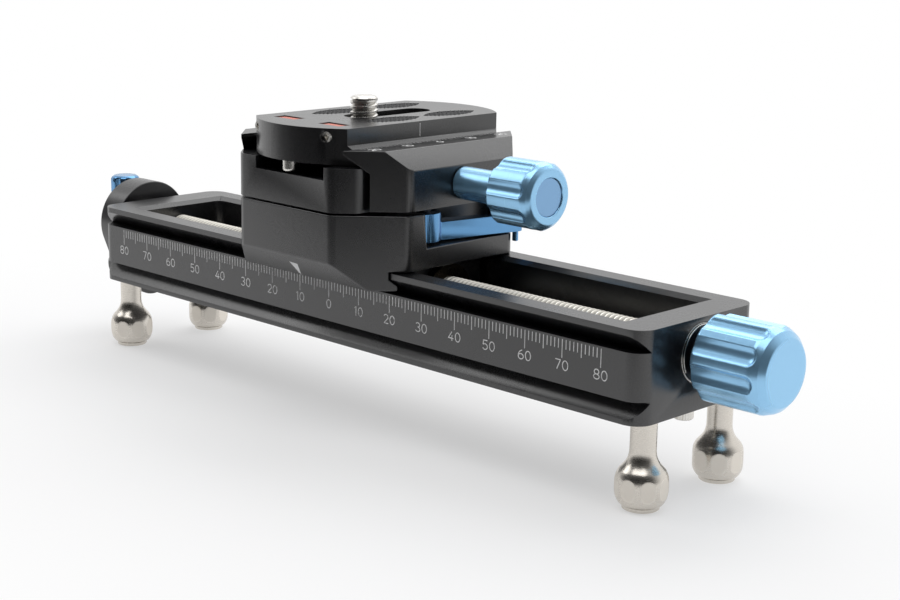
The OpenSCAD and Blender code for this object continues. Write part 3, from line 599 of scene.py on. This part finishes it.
def digit_paths():
    """The width of each digit and the centre lines of its strokes, in a box one unit high."""
    bowl_of_2 = np.concatenate([ellipse(0.28, 0.70, 0.25, 0.27, 165, -28), straight((0.04, 0.03))])
    return {
        "0": (0.60, [ellipse(0.30, 0.50, 0.27, 0.47, 0, 360, 28)]),
        "1": (0.34, [straight((0.03, 0.80), (0.24, 0.97)), straight((0.24, 1.0), (0.24, 0.0))]),
        "2": (0.58, [bowl_of_2, straight((0.02, 0.03), (0.56, 0.03))]),
        "3": (0.58, [ellipse(0.27, 0.745, 0.23, 0.225, 155, -90),
                     ellipse(0.27, 0.275, 0.27, 0.245, 90, -155)]),
        "4": (0.62, [straight((0.42, 0.97), (0.03, 0.27)), straight((0.0, 0.27), (0.62, 0.27)),
                     straight((0.44, 0.62), (0.44, 0.0))]),
        "5": (0.58, [straight((0.52, 0.97), (0.10, 0.97)), straight((0.11, 1.0), (0.06, 0.52)),
                     ellipse(0.27, 0.32, 0.27, 0.29, 140, -148, 20)]),
        "6": (0.60, [ellipse(0.30, 0.30, 0.27, 0.27, 0, 360, 24),
                     ellipse(0.62, 0.36, 0.59, 0.62, 175, 108, 12)]),
        "7": (0.56, [straight((0.0, 0.97), (0.55, 0.97)), straight((0.53, 0.97), (0.18, 0.0))]),
        "8": (0.60, [ellipse(0.30, 0.735, 0.225, 0.235, 0, 360, 24),
                     ellipse(0.30, 0.265, 0.27, 0.245, 0, 360, 24)]),
    }


def stroke_bar(path, width, origin, right, up, out, thick):
    """A flat bar of paint along a path in a plane: at every point the path is widened by half the
    width to both sides of its own direction, and the four corners of the section, half sunk in the
    plane, are carried on. Both ends are closed by drawing the section in to its middle."""
    ahead = np.gradient(path, axis=0)
    if np.allclose(path[0], path[-1]):
        ahead[0] = ahead[-1] = (path[1] - path[-2]) / 2
    ahead /= np.linalg.norm(ahead, axis=1)[:, None]
    side = np.stack([-ahead[:, 1], ahead[:, 0]], -1) * width / 2
    near, far = path + side, path - side
    section = ((near, -thick), (near, thick), (far, thick), (far, -thick))
    ring = np.stack([origin + p[:, :1] * right + p[:, 1:] * up + h * out for p, h in section], 1)
    middle = ring.mean(1, keepdims=True).repeat(4, 1)
    return np.concatenate([middle[:1], ring, middle[-1:]]), True


def number(text, height, stroke, middle, top, origin, right, up, out, thick):
    """Bars for a number, centred at middle along right, its top at top along up. Each later stroke
    of a digit is a little thicker than the one before it, so that crossings stay clean."""
    paths = digit_paths()
    gap, broad, thicker = 0.16, 1.24, 0.3
    wide = sum(paths[c][0] for c in text) + gap * (len(text) - 1)
    x, bars = -wide / 2, []
    for c in text:
        for layer, path in enumerate(paths[c][1]):
            across = middle + (path[:, 0] + x) * height * broad
            p = np.stack([across, top + (path[:, 1] - 1) * height], -1)
            bars.append(stroke_bar(p, stroke, origin, right, up, out, thick * (1 + thicker * layer)))
        x += paths[c][0] + gap
    return bars


# One operator for each piece or group of like pieces


class RAIL_OT_finishes(bpy.types.Operator):
    """Give the plain CAD nodes their finishes"""

    bl_idname = "macro_rail.finishes"
    bl_label = "Finishes"

    def execute(self, context):
        c, e, t = context.scene.rail_colours, context.scene.rail_edges, context.scene.rail_threads
        black = finish("satin_black", satin_black(tuple(c.black), e.grain, e.wear))
        finish("hub_black", hub_black(tuple(c.hub)))
        finish("drive_blue", turned_blue(tuple(c.blue), DRIVE_AXIS))
        finish("clamp_blue", turned_blue(tuple(c.blue), CLAMP_AXIS))
        finish("cap_blue", turned_blue(tuple(c.cap), CLAMP_AXIS))
        finish("grip_blue", plain_metal(tuple(c.grip), rough=0.12, metal=0.94))
        finish("leg_steel", turned_steel(tuple(c.legs), rough=0.20, strength=0.10))
        low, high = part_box("lead_screw")
        finish("thread_steel", threaded_steel(tuple(c.thread), 0.26, (low.z + high.z) / 2,
                                              (high.z - low.z) / 2, t.lead_depth))
        finish("plated_steel", plain_metal(tuple(c.plated), rough=0.22))
        finish("black_steel", plain_metal(tuple(c.oxide), rough=0.34, metal=0.6))
        finish("bronze", plain_metal(tuple(c.bronze), rough=0.22))
        finish("rubber", matt_rubber(tuple(c.rubber)))
        finish("red_rubber", matt_rubber(tuple(c.red)))
        finish("marking", marking_paint(tuple(c.print_white)))
        wanted = {
            "bearing_right": "hub_black", "bearing_left": "hub_black", "drive_hub": "hub_black",
            "crank_hub": "hub_black", "crank_screw": "black_steel", "fold_pin": "plated_steel",
            "crank_stem": "black_steel", "nut_block": "satin_black", "drive_nut": "bronze",
            "nut_screws": "plated_steel", "lever_post": "black_steel", "pan_pivot": "satin_black",
            "guide_pins": "plated_steel", "clamp_screw": "plated_steel", "clamp_cap": "cap_blue",
            "set_screws": "plated_steel", "screw_clip": "black_steel", "clamp_neck": "clamp_blue",
        }
        for name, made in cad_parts.items():
            for spot in made.material_slots:
                spot.material = FINISHES[wanted[name]] if name in wanted else black
        return {"FINISHED"}


class RAIL_OT_bodies(bpy.types.Operator):
    """Round the edges of rail, carriage, clamp, jaw, plate, crank arm, lever and red pads"""

    bl_idname = "macro_rail.bodies"
    bl_label = "Machined bodies"

    def execute(self, context):
        width, corner = context.scene.rail_edges.round_off, context.scene.rail_edges.corner
        black, lift = FINISHES["satin_black"], 0.00025
        for node, body, turned, overlap_clamp in (
            ("rail_frame", "rail", 0.0, True), ("carriage", "carriage", corner, False),
            ("clamp_body", "clamp", corner, True), ("moving_jaw", "jaw", corner, True),
            ("quick_plate", "plate", 0.0, True), ("crank_arm", "drive", 0.0, False),
        ):
            softened(node, black, body, width, turned,
                     overlap_clamp=overlap_clamp)
        softened("lock_lever", FINISHES["grip_blue"], "lever", width)
        softened("red_pads", FINISHES["red_rubber"], "plate", width, rise=lift)
        return {"FINISHED"}


class RAIL_OT_ruler(bpy.types.Operator):
    """Print the ruler's ticks and numbers on the rail's front face"""

    bl_idname = "macro_rail.ruler"
    bl_label = "Ruler"

    def execute(self, context):
        m = context.scene.rail_marks
        gap = 0.0004
        origin = np.array([0.0, m.face_y, 0.0])
        right, up, out = np.eye(3)[0], np.eye(3)[2], -np.eye(3)[1]
        bars = []
        for k in range(-m.reach, m.reach + 1):
            tall = m.long_tick if k % 10 == 0 else m.half_tick if k % 5 == 0 else m.short_tick
            line = straight((k * MM, m.top_z), (k * MM, m.top_z - tall))
            bars.append(stroke_bar(line, m.tick_width, origin, right, up, out, m.paint))
        for k in range(-m.reach, m.reach + 1, 10):
            bars += number(str(abs(k)), m.digit_height, m.stroke, k * MM,
                           m.top_z - m.long_tick - gap, origin, right, up, out, m.paint)
        piece("ruler_marks", bars, FINISHES["marking"], "rail")
        return {"FINISHED"}


class RAIL_OT_jaw_scale(bpy.types.Operator):
    """Print the short scale on top of the moving jaw and the index line on the plate's side"""

    bl_idname = "macro_rail.jaw_scale"
    bl_label = "Jaw scale and index line"

    def execute(self, context):
        paint = context.scene.rail_marks.paint
        low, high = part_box("moving_jaw")
        reach, numbered = 22, 20
        margin, long_tick, short_tick, tick_width = 0.0005, 0.0011, 0.0007, 0.00016
        digit_height, stroke, digit_drop = 0.0018, 0.00034, 0.0016
        origin = np.array([0.0, 0.0, high.z])
        right, up, out = np.eye(3)[1], -np.eye(3)[0], np.eye(3)[2]
        inner = -(low.x + margin)
        bars = []
        for k in range(-reach, reach + 1):
            tall = long_tick if k % 5 == 0 else short_tick
            line = straight((k * MM, inner), (k * MM, inner - tall))
            bars.append(stroke_bar(line, tick_width, origin, right, up, out, paint))
        for k in range(-numbered, numbered + 1, 10):
            bars += number(str(abs(k)), digit_height, stroke, k * MM, inner - digit_drop,
                           origin, right, up, out, paint)
        piece("jaw_marks", bars, FINISHES["marking"], "jaw")

        side_x, line_y, line_top, line_foot, line_width = 0.01125, -0.0016, 0.0004, 0.0034, 0.00024
        plate_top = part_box("quick_plate")[1].z
        face = np.array([side_x, 0.0, 0.0])
        line = straight((line_y, plate_top - line_top), (line_y, plate_top - line_foot))
        bar = stroke_bar(line, line_width, face, np.eye(3)[1], np.eye(3)[2], np.eye(3)[0], paint)
        piece("index_line", [bar], FINISHES["marking"], "plate")
        return {"FINISHED"}


class RAIL_OT_pointer(bpy.types.Operator):
    """Print the white pointer on the carriage's front bevel"""

    bl_idname = "macro_rail.pointer"
    bl_label = "Carriage pointer"

    def execute(self, context):
        paint = context.scene.rail_marks.paint
        low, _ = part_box("carriage")
        bevel_top, bevel_tall = 0.0394, 0.0058
        edge = np.array([0.0, low.y, bevel_top])
        slope = np.array([0.0, -1.0, 1.0]) / math.sqrt(2)
        out = np.array([0.0, -1.0, -1.0]) / math.sqrt(2)
        foot = -bevel_tall * math.sqrt(2)
        tip, left, right = (-0.0051, foot + 0.0001), (-0.0050, foot + 0.0053), (-0.0024, foot + 0.0050)
        corners = np.array([tip, left, right, tip])
        rows = [edge + corners[:, :1] * np.eye(3)[0] + corners[:, 1:] * slope + height * out
                for height in (-paint, paint)]
        middle = [r[:3].mean(0) + np.zeros_like(r) for r in rows]
        grid = np.stack([middle[0], rows[0], rows[1], middle[1]])
        piece("carriage_pointer", [(grid, False)], FINISHES["marking"], "carriage")
        return {"FINISHED"}


def threaded(centre, around, low, high, radius, depth, pitch, steps=26, crest=0.16, root=0.16):
    """A right-hand thread as one ribbon: its section over one pitch, root, flank, crest and flank,
    is carried round the axis and moves on by one pitch a turn, so each turn's last line lies on the
    next turn's first. Beyond both ends the ribbon is pressed flat onto the end planes."""
    turns = int(math.ceil((high - low) / pitch)) + 2
    a = np.arange(turns * steps + 1)[:, None] * 2 * math.pi / steps
    flank = (1 - crest - root) / 2
    s = np.array([0.0, root, root + flank, root + flank + crest, 1.0])[None, :] * pitch
    r = np.array([0.0, 0.0, depth, depth, 0.0])[None, :] + radius - depth
    along = np.clip(low - pitch + a / (2 * math.pi) * pitch + s, low, high)
    return around(centre, along, r + 0 * a, a + 0 * s), False


def disc(centre, around, s, radius, count=40):
    """A flat disc across the axis at s."""
    rows = np.array([0.0, radius])[:, None]
    return around(centre, s, rows, turn(count)[None, :]), True


def shaft(centre, around, stations, count=40):
    """A turned shape from (place, radius) pairs, closed where the radius is zero."""
    p = np.array(stations, float)
    return around(centre, p[:, :1], p[:, 1:], turn(count)[None, :]), True


class RAIL_OT_lead_screw(bpy.types.Operator):
    """Cut the lead screw's thread"""

    bl_idname = "macro_rail.lead_screw"
    bl_label = "Lead screw"

    def execute(self, context):
        t = context.scene.rail_threads
        low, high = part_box("lead_screw")
        axis = (0.0, 0.0, (low.z + high.z) / 2)
        radius = (high.z - low.z) / 2
        half, journal, bevel = 0.0807, 0.003, 0.0003
        ribbon = threaded(axis, round_x, -half, half, radius, t.lead_depth, t.lead, 24)
        ends = [disc(axis, round_x, s, radius) for s in (-half, half)]
        core = shaft(axis, round_x, [(low.x, 0), (low.x, journal - bevel), (low.x + bevel, journal),
                                     (high.x, journal), (high.x, 0)])
        piece("lead_screw_thread", [ribbon, core] + ends, FINISHES["thread_steel"], "drive",
              ["lead_screw"], 40.0)
        return {"FINISHED"}


class RAIL_OT_camera_screw(bpy.types.Operator):
    """Cut the camera screw's thread and turn its head and its tip"""

    bl_idname = "macro_rail.camera_screw"
    bl_label = "Camera screw"

    def execute(self, context):
        t = context.scene.rail_threads
        low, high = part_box("camera_screw")
        axis = ((low.x + high.x) / 2, (low.y + high.y) / 2, 0.0)
        sides, radius = 48, 0.003175
        start, stop = 0.0665, high.z - 0.0006
        core, head, head_tall, bevel, sunk = 0.0025, 0.005, 0.0022, 0.0002, 0.0004
        ribbon = threaded(axis, round_z, start, stop, radius, t.camera_depth, t.camera_pitch, sides,
                          crest=0.34, root=0.10)
        tip = shaft(axis, round_z, [(stop, 0), (stop, 0.00315), (stop + 0.0001, 0.00312),
                                    (high.z - 0.0001, 0.00262), (high.z, 0.0023), (high.z, 0)], sides)
        neck = shaft(axis, round_z, [
            (low.z, 0), (low.z, head - bevel), (low.z + bevel, head),
            (low.z + head_tall - bevel, head), (low.z + head_tall, head - bevel),
            (low.z + head_tall, core), (start + sunk, core), (start + sunk, 0)], sides)
        lid = disc(axis, round_z, start, radius, sides)
        piece("camera_screw_thread", [ribbon, tip, neck, lid], FINISHES["plated_steel"], "camera",
              ["camera_screw"], 40.0)
        return {"FINISHED"}


def almond_grip(centre, half_long, half_wide, base, top, pitch, height):
    """A rubber grip in the shape of an almond. The two parameters run along it and across it: the
    half width is that of two equal arcs, its edge is cut into small teeth, and the top carries
    small pyramids with flat tips: each point lies below the top by its distance from the nearest
    peak, the greater of the two slanting distances."""
    tooth_depth, tip = 0.00022, 0.15
    u = np.linspace(-1, 1, 161)[:, None]
    v = np.linspace(-1, 1, 45)[None, :]
    big = (half_long**2 + half_wide**2) / (2 * half_wide)
    y = u * half_long
    half = np.sqrt(np.maximum(big**2 - y**2, 0)) - (big - half_wide)
    tooth = np.abs((y / pitch) % 1.0 - 0.5) * 2
    half = np.maximum(half - tooth_depth * tooth, 0.0)
    x = v * half
    one = np.abs(((x + y) / pitch) % 1.0 - 0.5) * 2
    two = np.abs(((x - y) / pitch) % 1.0 - 0.5) * 2
    z = top - height * np.clip(np.maximum(one, two) * (1 + tip) - tip, 0.0, 1.0)
    cover = np.stack([centre[0] + x + 0 * z, centre[1] + y + 0 * z, z], -1)
    floor = cover.copy()
    floor[..., 2] = base
    walls = [np.stack([cover[:, 0], floor[:, 0]]), np.stack([cover[:, -1], floor[:, -1]])]
    return [(cover, False), (floor, False)] + [(w, False) for w in walls]


class RAIL_OT_rubber_grips(bpy.types.Operator):
    """Mould the four ribbed rubber grips of the plate"""

    bl_idname = "macro_rail.rubber_grips"
    bl_label = "Rubber grips"

    def execute(self, context):
        t = context.scene.rail_threads
        low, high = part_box("plate_grips")
        half_long, half_wide = 0.0083, 0.0034
        grids = []
        for x in (-0.0134, 0.0050):
            for y in (-0.004, 0.014):
                grids += almond_grip((x, y), half_long, half_wide, low.z, high.z, t.rib_pitch,
                                     t.rib_height)
        piece("rubber_grips", grids, FINISHES["rubber"], "plate", ["plate_grips"], 60.0)
        return {"FINISHED"}


def flute_radius(s, angle, rim, cutter, depth, count, stop):
    """Radius of the cut left by equal round cutters that run along a body to stop, each ending in
    a half ball: the near wall of a circle whose centre lies outside the rim. Large where no
    cutter reaches."""
    step = 2 * math.pi / count
    off = (angle % step) - step / 2
    far = rim - depth + cutter
    past = np.maximum(s - stop, 0.0)
    r2 = np.maximum(cutter**2 - past**2, 0.0)
    under = r2 - (far * np.sin(off)) ** 2
    wall = far * np.cos(off) - np.sqrt(np.maximum(under, 0.0))
    return np.where(under > 0, wall, far * np.cos(off) + np.abs(under) ** 0.5)


def fluted_body(centre, around, stations, steps, rim, cutter, depth, count, stop, soft=0.00012,
                phase=0.0, per=30):
    """A fluted knob: at each place along the axis and each angle the lesser of the turned profile
    and the flutes' radius, with a soft edge between them. The phase turns the flutes."""
    rows = profile(stations, steps)
    s, r = rows[:, :1], rows[:, 1:]
    a = turn(count * per)[None, :]
    cut = flute_radius(s, a - phase, rim, cutter, depth, count, stop)
    radius = np.where(r > 1e-6, np.maximum(soft_least(r + 0 * a, cut, soft), 0.0), 0.0)
    radius = np.minimum(radius, r + 0 * a)
    return around(centre, s + 0 * a, radius, a), True


class RAIL_OT_knobs(bpy.types.Operator):
    """Turn and flute the drive knob and the clamp knob"""

    bl_idname = "macro_rail.knobs"
    bl_label = "Knobs"

    def execute(self, context):
        low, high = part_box("drive_knob")
        axis = (low.x, 0.0, (low.z + high.z) / 2)
        long, rim = high.x - low.x, 0.0090
        stations = [(0, 0), (0, 0.0083), (0.0002, 0.00865), (0.0006, rim), (long - 0.0031, rim),
                    (long - 0.0026, 0.00888), (long - 0.0012, 0.00810), (long - 0.0004, 0.00722),
                    (long - 0.0001, 0.0069), (long, 0.0066), (long, 0)]
        knob = fluted_body(axis, round_x, stations, [3, 2, 2, 44, 6, 16, 10, 3, 3, 8], rim,
                           cutter=0.0027, depth=0.00100, count=10, stop=long - 0.0036,
                           soft=0.00022, phase=math.radians(-8.6), per=36)
        piece("drive_knob_turned", [knob], FINISHES["drive_blue"], "drive", ["drive_knob"],
              45.0)

        low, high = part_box("clamp_knob")
        axis = (low.x, 0.0, CLAMP_AXIS)
        long, rim = high.x - low.x, 0.0075
        seat, seat_deep, seat_bevel = 0.00423, 0.0012, 0.00012
        stations = [(0, 0), (0, 0.0069), (0.0002, 0.0072), (0.0005, rim), (long - 0.0021, rim),
                    (long - 0.0017, 0.00742), (long - 0.0008, 0.00690), (long - 0.0002, 0.00628),
                    (long, 0.0060), (long, seat + seat_bevel), (long - seat_bevel, seat),
                    (long - seat_deep, seat), (long - seat_deep, 0)]
        knob = fluted_body(axis, round_x, stations, [3, 2, 2, 40, 6, 12, 8, 3, 4, 2, 4, 4], rim,
                           cutter=0.0023, depth=0.00090, count=8, stop=long - 0.0030,
                           soft=0.00020, phase=math.radians(8.4), per=42)
        piece("clamp_knob_turned", [knob], FINISHES["clamp_blue"], "knob", ["clamp_knob"],
              45.0)
        return {"FINISHED"}


class RAIL_OT_crank_grip(bpy.types.Operator):
    """Turn and flute the crank's folding grip"""

    bl_idname = "macro_rail.crank_grip"
    bl_label = "Crank grip"

    def execute(self, context):
        low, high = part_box("crank_grip")
        axis = ((low.x + high.x) / 2, 0.0, low.z)
        tall, rim, past_end = high.z - low.z, 0.0039, 0.01
        stations = [(0, 0), (0, 0.0036), (0.0003, rim), (tall - 0.0010, rim),
                    (tall - 0.0004, 0.0036), (tall, 0.0030), (tall, 0)]
        grip = fluted_body(axis, round_z, stations, [2, 2, 24, 4, 3, 4], rim, cutter=0.0013,
                           depth=0.00045, count=8, stop=tall + past_end, soft=0.00012, per=20)
        piece("crank_grip_turned", [grip], FINISHES["grip_blue"], "grip", ["crank_grip"],
              45.0)
        return {"FINISHED"}


def leg_profile(top):
    """The profile of a leg as (height, radius) rows from its top down: a pin in the rail, a neck
    that flares along a cubic curve into the belly, a superellipse, and a ring at the foot. The
    curve meets the belly in the belly's own direction."""
    pin, neck, belly = 0.0019, 0.0027, 0.00545
    rail_under, neck_foot, flare_foot, belly_top, belly_foot = 0.0184, 0.0124, 0.0096, 0.0080, 0.00115
    middle, half, power, lean_long = 0.0048, 0.0050, 2.7, 0.0010
    z = np.linspace(belly_top, belly_foot, 64)
    bowl = np.stack([z, belly * (1 - (np.abs(z - middle) / half) ** power) ** (1 / power)], -1)
    lean = (bowl[0] - bowl[1]) / np.linalg.norm(bowl[0] - bowl[1])
    bend = [np.array([neck_foot, neck]), np.array([flare_foot, neck]), bowl[0] + lean_long * lean,
            bowl[0]]
    t = np.linspace(0, 1, 36)[:, None]
    flare = sum(k * (1 - t) ** (3 - j) * t**j * bend[j] for j, k in enumerate((1, 3, 3, 1)))
    shank = np.array([(top, 0), (top, pin), (rail_under, pin), (rail_under, neck)])
    foot = np.array([(0.00100, 0.0036), (0.00092, 0.0036), (0.00082, 0.00382), (0.00018, 0.00382),
                     (0.0, 0.00362), (0.0, 0.0)])
    return np.concatenate([shank, flare, bowl[1:], foot])


class RAIL_OT_legs(bpy.types.Operator):
    """Turn the four legs and mill the flats round their balls"""

    bl_idname = "macro_rail.legs"
    bl_label = "Legs"

    def execute(self, context):
        turns = {"leg_front_right": -14.5, "leg_back_right": 16.0, "leg_front_left": 6.0,
                 "leg_back_left": -9.0}
        flat, soft, near_flat = 0.00522, 0.00004, 0.000035
        step = 2 * math.pi / 8
        angle = turn(192)[None, :]
        for name, degrees in turns.items():
            low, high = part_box(name)
            axis = ((low.x + high.x) / 2, (low.y + high.y) / 2, 0.0)
            rows = leg_profile(high.z)
            s, r = rows[:, :1], rows[:, 1:]
            phase = math.radians(degrees)
            off = ((angle - phase) % step) - step / 2
            radius = soft_least(r + 0 * angle, flat / np.cos(off), soft)
            radius = np.where(r > 1e-6, np.minimum(radius, r), 0.0)

            def on_flat(p, axis=axis, phase=phase):
                x, y = p[:, 0] - axis[0], p[:, 1] - axis[1]
                aside = ((np.arctan2(y, x) - phase) % step) - step / 2
                return np.abs(np.hypot(x, y) * np.cos(aside) - flat) < near_flat

            piece(name + "_turned", [(round_z(axis, s + 0 * angle, radius, angle), True)],
                  FINISHES["leg_steel"], "rail", [name], 20.0, on_flat)
        return {"FINISHED"}


class RAIL_OT_small_screws(bpy.types.Operator):
    """Knurl the stop screws under the rail and turn the stop pins under the plate"""

    bl_idname = "macro_rail.small_screws"
    bl_label = "Stop screws and pins"

    def execute(self, context):
        knurl, ridges = context.scene.rail_threads.knurl, 24
        angle = turn(240)[None, :]
        low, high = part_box("rail_stop_screws")
        tall, head, head_tall, bevel, pin = high.z - low.z, 0.0021, 0.0024, 0.0002, 0.0019
        apart = 0.0865
        rows = profile([(0, 0), (0, 0.0018), (bevel, head), (head_tall - bevel, head), (head_tall, pin),
                        (tall, pin), (tall, 0)], [2, 1, 12, 1, 1, 1])
        s, r = rows[:, :1], rows[:, 1:]
        ridge = np.abs(((angle * ridges / (2 * math.pi)) % 1.0) - 0.5) * 2
        on_head = ((s > bevel / 2) & (s < head_tall - bevel / 2) & (r > 0.002)).astype(float)
        grids = [(round_z((x, 0.0, low.z), s + 0 * angle, r - knurl * ridge * on_head, angle), True)
                 for x in (-apart, apart)]
        piece("stop_screws_knurled", grids, FINISHES["plated_steel"], "rail", ["rail_stop_screws"],
              50.0)

        low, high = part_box("stop_pins")
        tall, head, head_tall, bevel, pin = high.z - low.z, 0.0019, 0.0028, 0.0003, 0.00095
        across, apart = -0.0042, 0.0264
        rows = profile([(0, 0), (0, 0.0016), (bevel, head), (head_tall, head), (head_tall, pin),
                        (tall, pin), (tall, 0)], [2, 1, 6, 1, 1, 1])
        s, r = rows[:, :1], rows[:, 1:]
        grids = [(round_z((across, y, low.z), s + 0 * angle, r + 0 * angle, angle), True)
                 for y in (-apart, apart)]
        piece("stop_pins_turned", grids, FINISHES["plated_steel"], "plate", ["stop_pins"],
              50.0)
        return {"FINISHED"}


class RAIL_OT_rings(bpy.types.Operator):
    """Bend the two retaining rings, each a wire of almost two turns"""

    bl_idname = "macro_rail.rings"
    bl_label = "Retaining rings"

    def execute(self, context):
        wide, narrowing, thick, sides = 0.00622, 0.0003, 0.00013, 10
        run = np.radians(np.linspace(-70.0, 570.0, 180))[:, None]
        step = (run - run[0]) / (run[-1] - run[0])
        around_wire = turn(sides)[None, :]
        for node, face in (("ring_right", 1), ("ring_left", -1)):
            low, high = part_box(node)
            axis = ((low.x + high.x) / 2, 0.0, (low.z + high.z) / 2)
            radius = wide + thick * np.cos(around_wire) - narrowing * step
            s = thick * np.sin(around_wire) + (step - 0.5) * (high.x - low.x - 2 * thick)
            wire = round_x(axis, s * face + 0 * run, radius, run + 0 * s)
            ends = wire.mean(1, keepdims=True).repeat(sides, 1)
            wire = np.concatenate([ends[:1], wire, ends[-1:]])
            piece(node + "_wire", [(wire, True)], FINISHES["plated_steel"], "rail", [node],
                  60.0)
        return {"FINISHED"}


# The stage


def aim_camera(scene, st):
    """Sets the camera at its eye, looking back along its heading and leaning by its roll."""
    az, el, roll = st.azimuth, st.elevation, st.roll
    back = Vector((math.sin(az) * math.cos(el), -math.cos(az) * math.cos(el), math.sin(el)))
    right = Vector((math.cos(az), math.sin(az), 0.0))
    up = back.cross(right)
    x = right * math.cos(roll) + up * math.sin(roll)
    y = up * math.cos(roll) - right * math.sin(roll)
    data = bpy.data.cameras.new("camera")
    data.sensor_width, data.lens, data.clip_start, data.clip_end = 36.0, st.lens, 0.01, 100.0
    camera = bpy.data.objects.new("camera", data)
    camera.matrix_world = Matrix.Translation(Vector(st.eye)) @ Matrix((x, y, back)).transposed().to_4x4()
    scene.collection.objects.link(camera)
    scene.camera = camera


def lay_floor(scene, st):
    """A plain floor that ends at the table's near edge. To the camera and in reflections it turns
    into pure white with the distance from a line in front of the rail, and near it the shadow
    stays."""
    reach, skew = 6.0, math.radians(10.8)
    line_half, line_y = 0.085, -0.035
    along, deep = np.meshgrid((-reach, reach), (-st.table, reach))
    corners = np.stack([along * math.cos(skew) - deep * math.sin(skew),
                        along * math.sin(skew) + deep * math.cos(skew), 0 * along], -1)
    mesh = bpy.data.meshes.new("floor")
    mesh.from_pydata(corners.reshape(-1, 3).tolist(), [], [[0, 1, 3, 2]])
    floor = bpy.data.objects.new("floor", mesh)
    scene.collection.objects.link(floor)
    material = bpy.data.materials.new("floor")
    n = Nodes(material)
    x, y, _ = n.split(n.place())
    beyond = n.greater((x * x).root() - line_half, 0.0)
    aside = y - line_y
    far = (beyond * beyond + aside * aside).root()
    clear = n.ramp(far, (0.02, 0.46), (0.08, 0.75), (0.13, 1.0))
    paper = n.add("ShaderNodeBsdfPrincipled", None, Base_Color=tuple(st.floor), Roughness=0.85,
                  Specular_IOR_Level=0.2)[0]
    glow = n.add("ShaderNodeEmission", None, Color=(1.0, 1.0, 1.0), Strength=1.0)[0]
    camera, mirrored = n.rays()
    seen = (camera + mirrored).clipped()
    both = n.add("ShaderNodeMixShader", None, seen * clear, paper, glow)[0]
    n.add("ShaderNodeOutputMaterial", None, both)
    mesh.materials.append(material)


def light_room(scene, st):
    """White to the camera. To everything else the room is bright behind the rail and dark in front
    of it: at full strength in reflections, and at the plain level for soft light."""
    world = bpy.data.worlds.new("room")
    scene.world = world
    n = Nodes(world)
    camera, mirrored = n.rays()
    x, y, _ = n.split(n.direction())
    back_x, back_y, middle = -0.17, 0.47, 0.5
    behind = y * back_y + x * back_x + middle
    room = n.ramp(behind, (0.04, 0.02), (0.34, 0.10), (0.50, 0.50), (0.70, 0.95), (1.0, 1.0))
    plain = n.add("ShaderNodeBackground", None, Color=room, Strength=st.room)[0]
    shown = n.add("ShaderNodeBackground", None, Color=room, Strength=1.0)[0]
    white = n.add("ShaderNodeBackground", None, Color=(1.0, 1.0, 1.0), Strength=1.0)[0]
    mixed = n.add("ShaderNodeMixShader", None, mirrored, plain, shown)[0]
    mixed = n.add("ShaderNodeMixShader", None, camera, mixed, white)[0]
    n.add("ShaderNodeOutputWorld", None, mixed)


def hang_softbox(scene, name, spot, aim, across, tall, power):
    """A rectangular lamp at a spot, turned towards its aim."""
    lamp = bpy.data.lights.new(name, "AREA")
    lamp.shape, lamp.size, lamp.size_y, lamp.energy = "RECTANGLE", across, tall, power
    holder = bpy.data.objects.new(name, lamp)
    way = (Vector(aim) - Vector(spot)).to_track_quat("-Z", "Y")
    holder.matrix_world = Matrix.Translation(spot) @ way.to_matrix().to_4x4()
    scene.collection.objects.link(holder)


class RAIL_OT_studio(bpy.types.Operator):
    """Set the camera, the plain floor and the soft light"""

    bl_idname = "macro_rail.studio"
    bl_label = "Camera, floor and light"

    def execute(self, context):
        scene, st = context.scene, context.scene.rail_studio
        scene.view_settings.view_transform = "Standard"
        aim_camera(scene, st)
        lay_floor(scene, st)
        light_room(scene, st)
        for name, spot, aim, across, tall, power in (
            ("key", (-0.20, 0.50, 0.75), (0.0, 0.0, 0.03), 0.9, 0.6, st.key_power),
            ("side", (-0.64, -0.30, 0.62), (0.0, 0.0, 0.04), 0.45, 0.35, st.side_power),
            ("front", (0.08, -0.20, 0.86), (0.0, 0.0, 0.03), 0.8, 0.55, st.front_power),
        ):
            hang_softbox(scene, name, spot, aim, across, tall, power)
        return {"FINISHED"}


OPERATORS = (
    RAIL_OT_finishes, RAIL_OT_bodies, RAIL_OT_ruler, RAIL_OT_jaw_scale, RAIL_OT_pointer,
    RAIL_OT_lead_screw, RAIL_OT_camera_screw, RAIL_OT_rubber_grips, RAIL_OT_knobs,
    RAIL_OT_crank_grip, RAIL_OT_legs, RAIL_OT_small_screws, RAIL_OT_rings, RAIL_OT_studio,
)
GROUPS = {
    "rail_colours": RailColours, "rail_edges": RailEdges, "rail_marks": RailMarks,
    "rail_threads": RailThreads, "rail_studio": RailStudio,
}


class RAIL_PT_panel(bpy.types.Panel):
    """Lists the pieces and the stage"""

    bl_idname = "RAIL_PT_panel"
    bl_label = "Macro rail"
    bl_space_type = "VIEW_3D"
    bl_region_type = "UI"
    bl_category = "Macro Rail"

    def draw(self, context):
        for group in GROUPS:
            box = self.layout.box()
            for key in getattr(context.scene, group).bl_rna.properties.keys():
                if key not in ("rna_type", "name"):
                    box.prop(getattr(context.scene, group), key)
        for operator in OPERATORS:
            self.layout.operator(operator.bl_idname)


def register():
    for cls in (*GROUPS.values(), *OPERATORS, RAIL_PT_panel):
        bpy.utils.register_class(cls)
    for name, cls in GROUPS.items():
        setattr(bpy.types.Scene, name, PointerProperty(type=cls))


def unregister():
    for name in GROUPS:
        delattr(bpy.types.Scene, name)
    for cls in reversed((*GROUPS.values(), *OPERATORS, RAIL_PT_panel)):
        bpy.utils.unregister_class(cls)


def main():
    register()
    for operator in OPERATORS:
        group, name = operator.bl_idname.split(".")
        getattr(getattr(bpy.ops, group), name)()


if __name__ == "__main__":
    main()
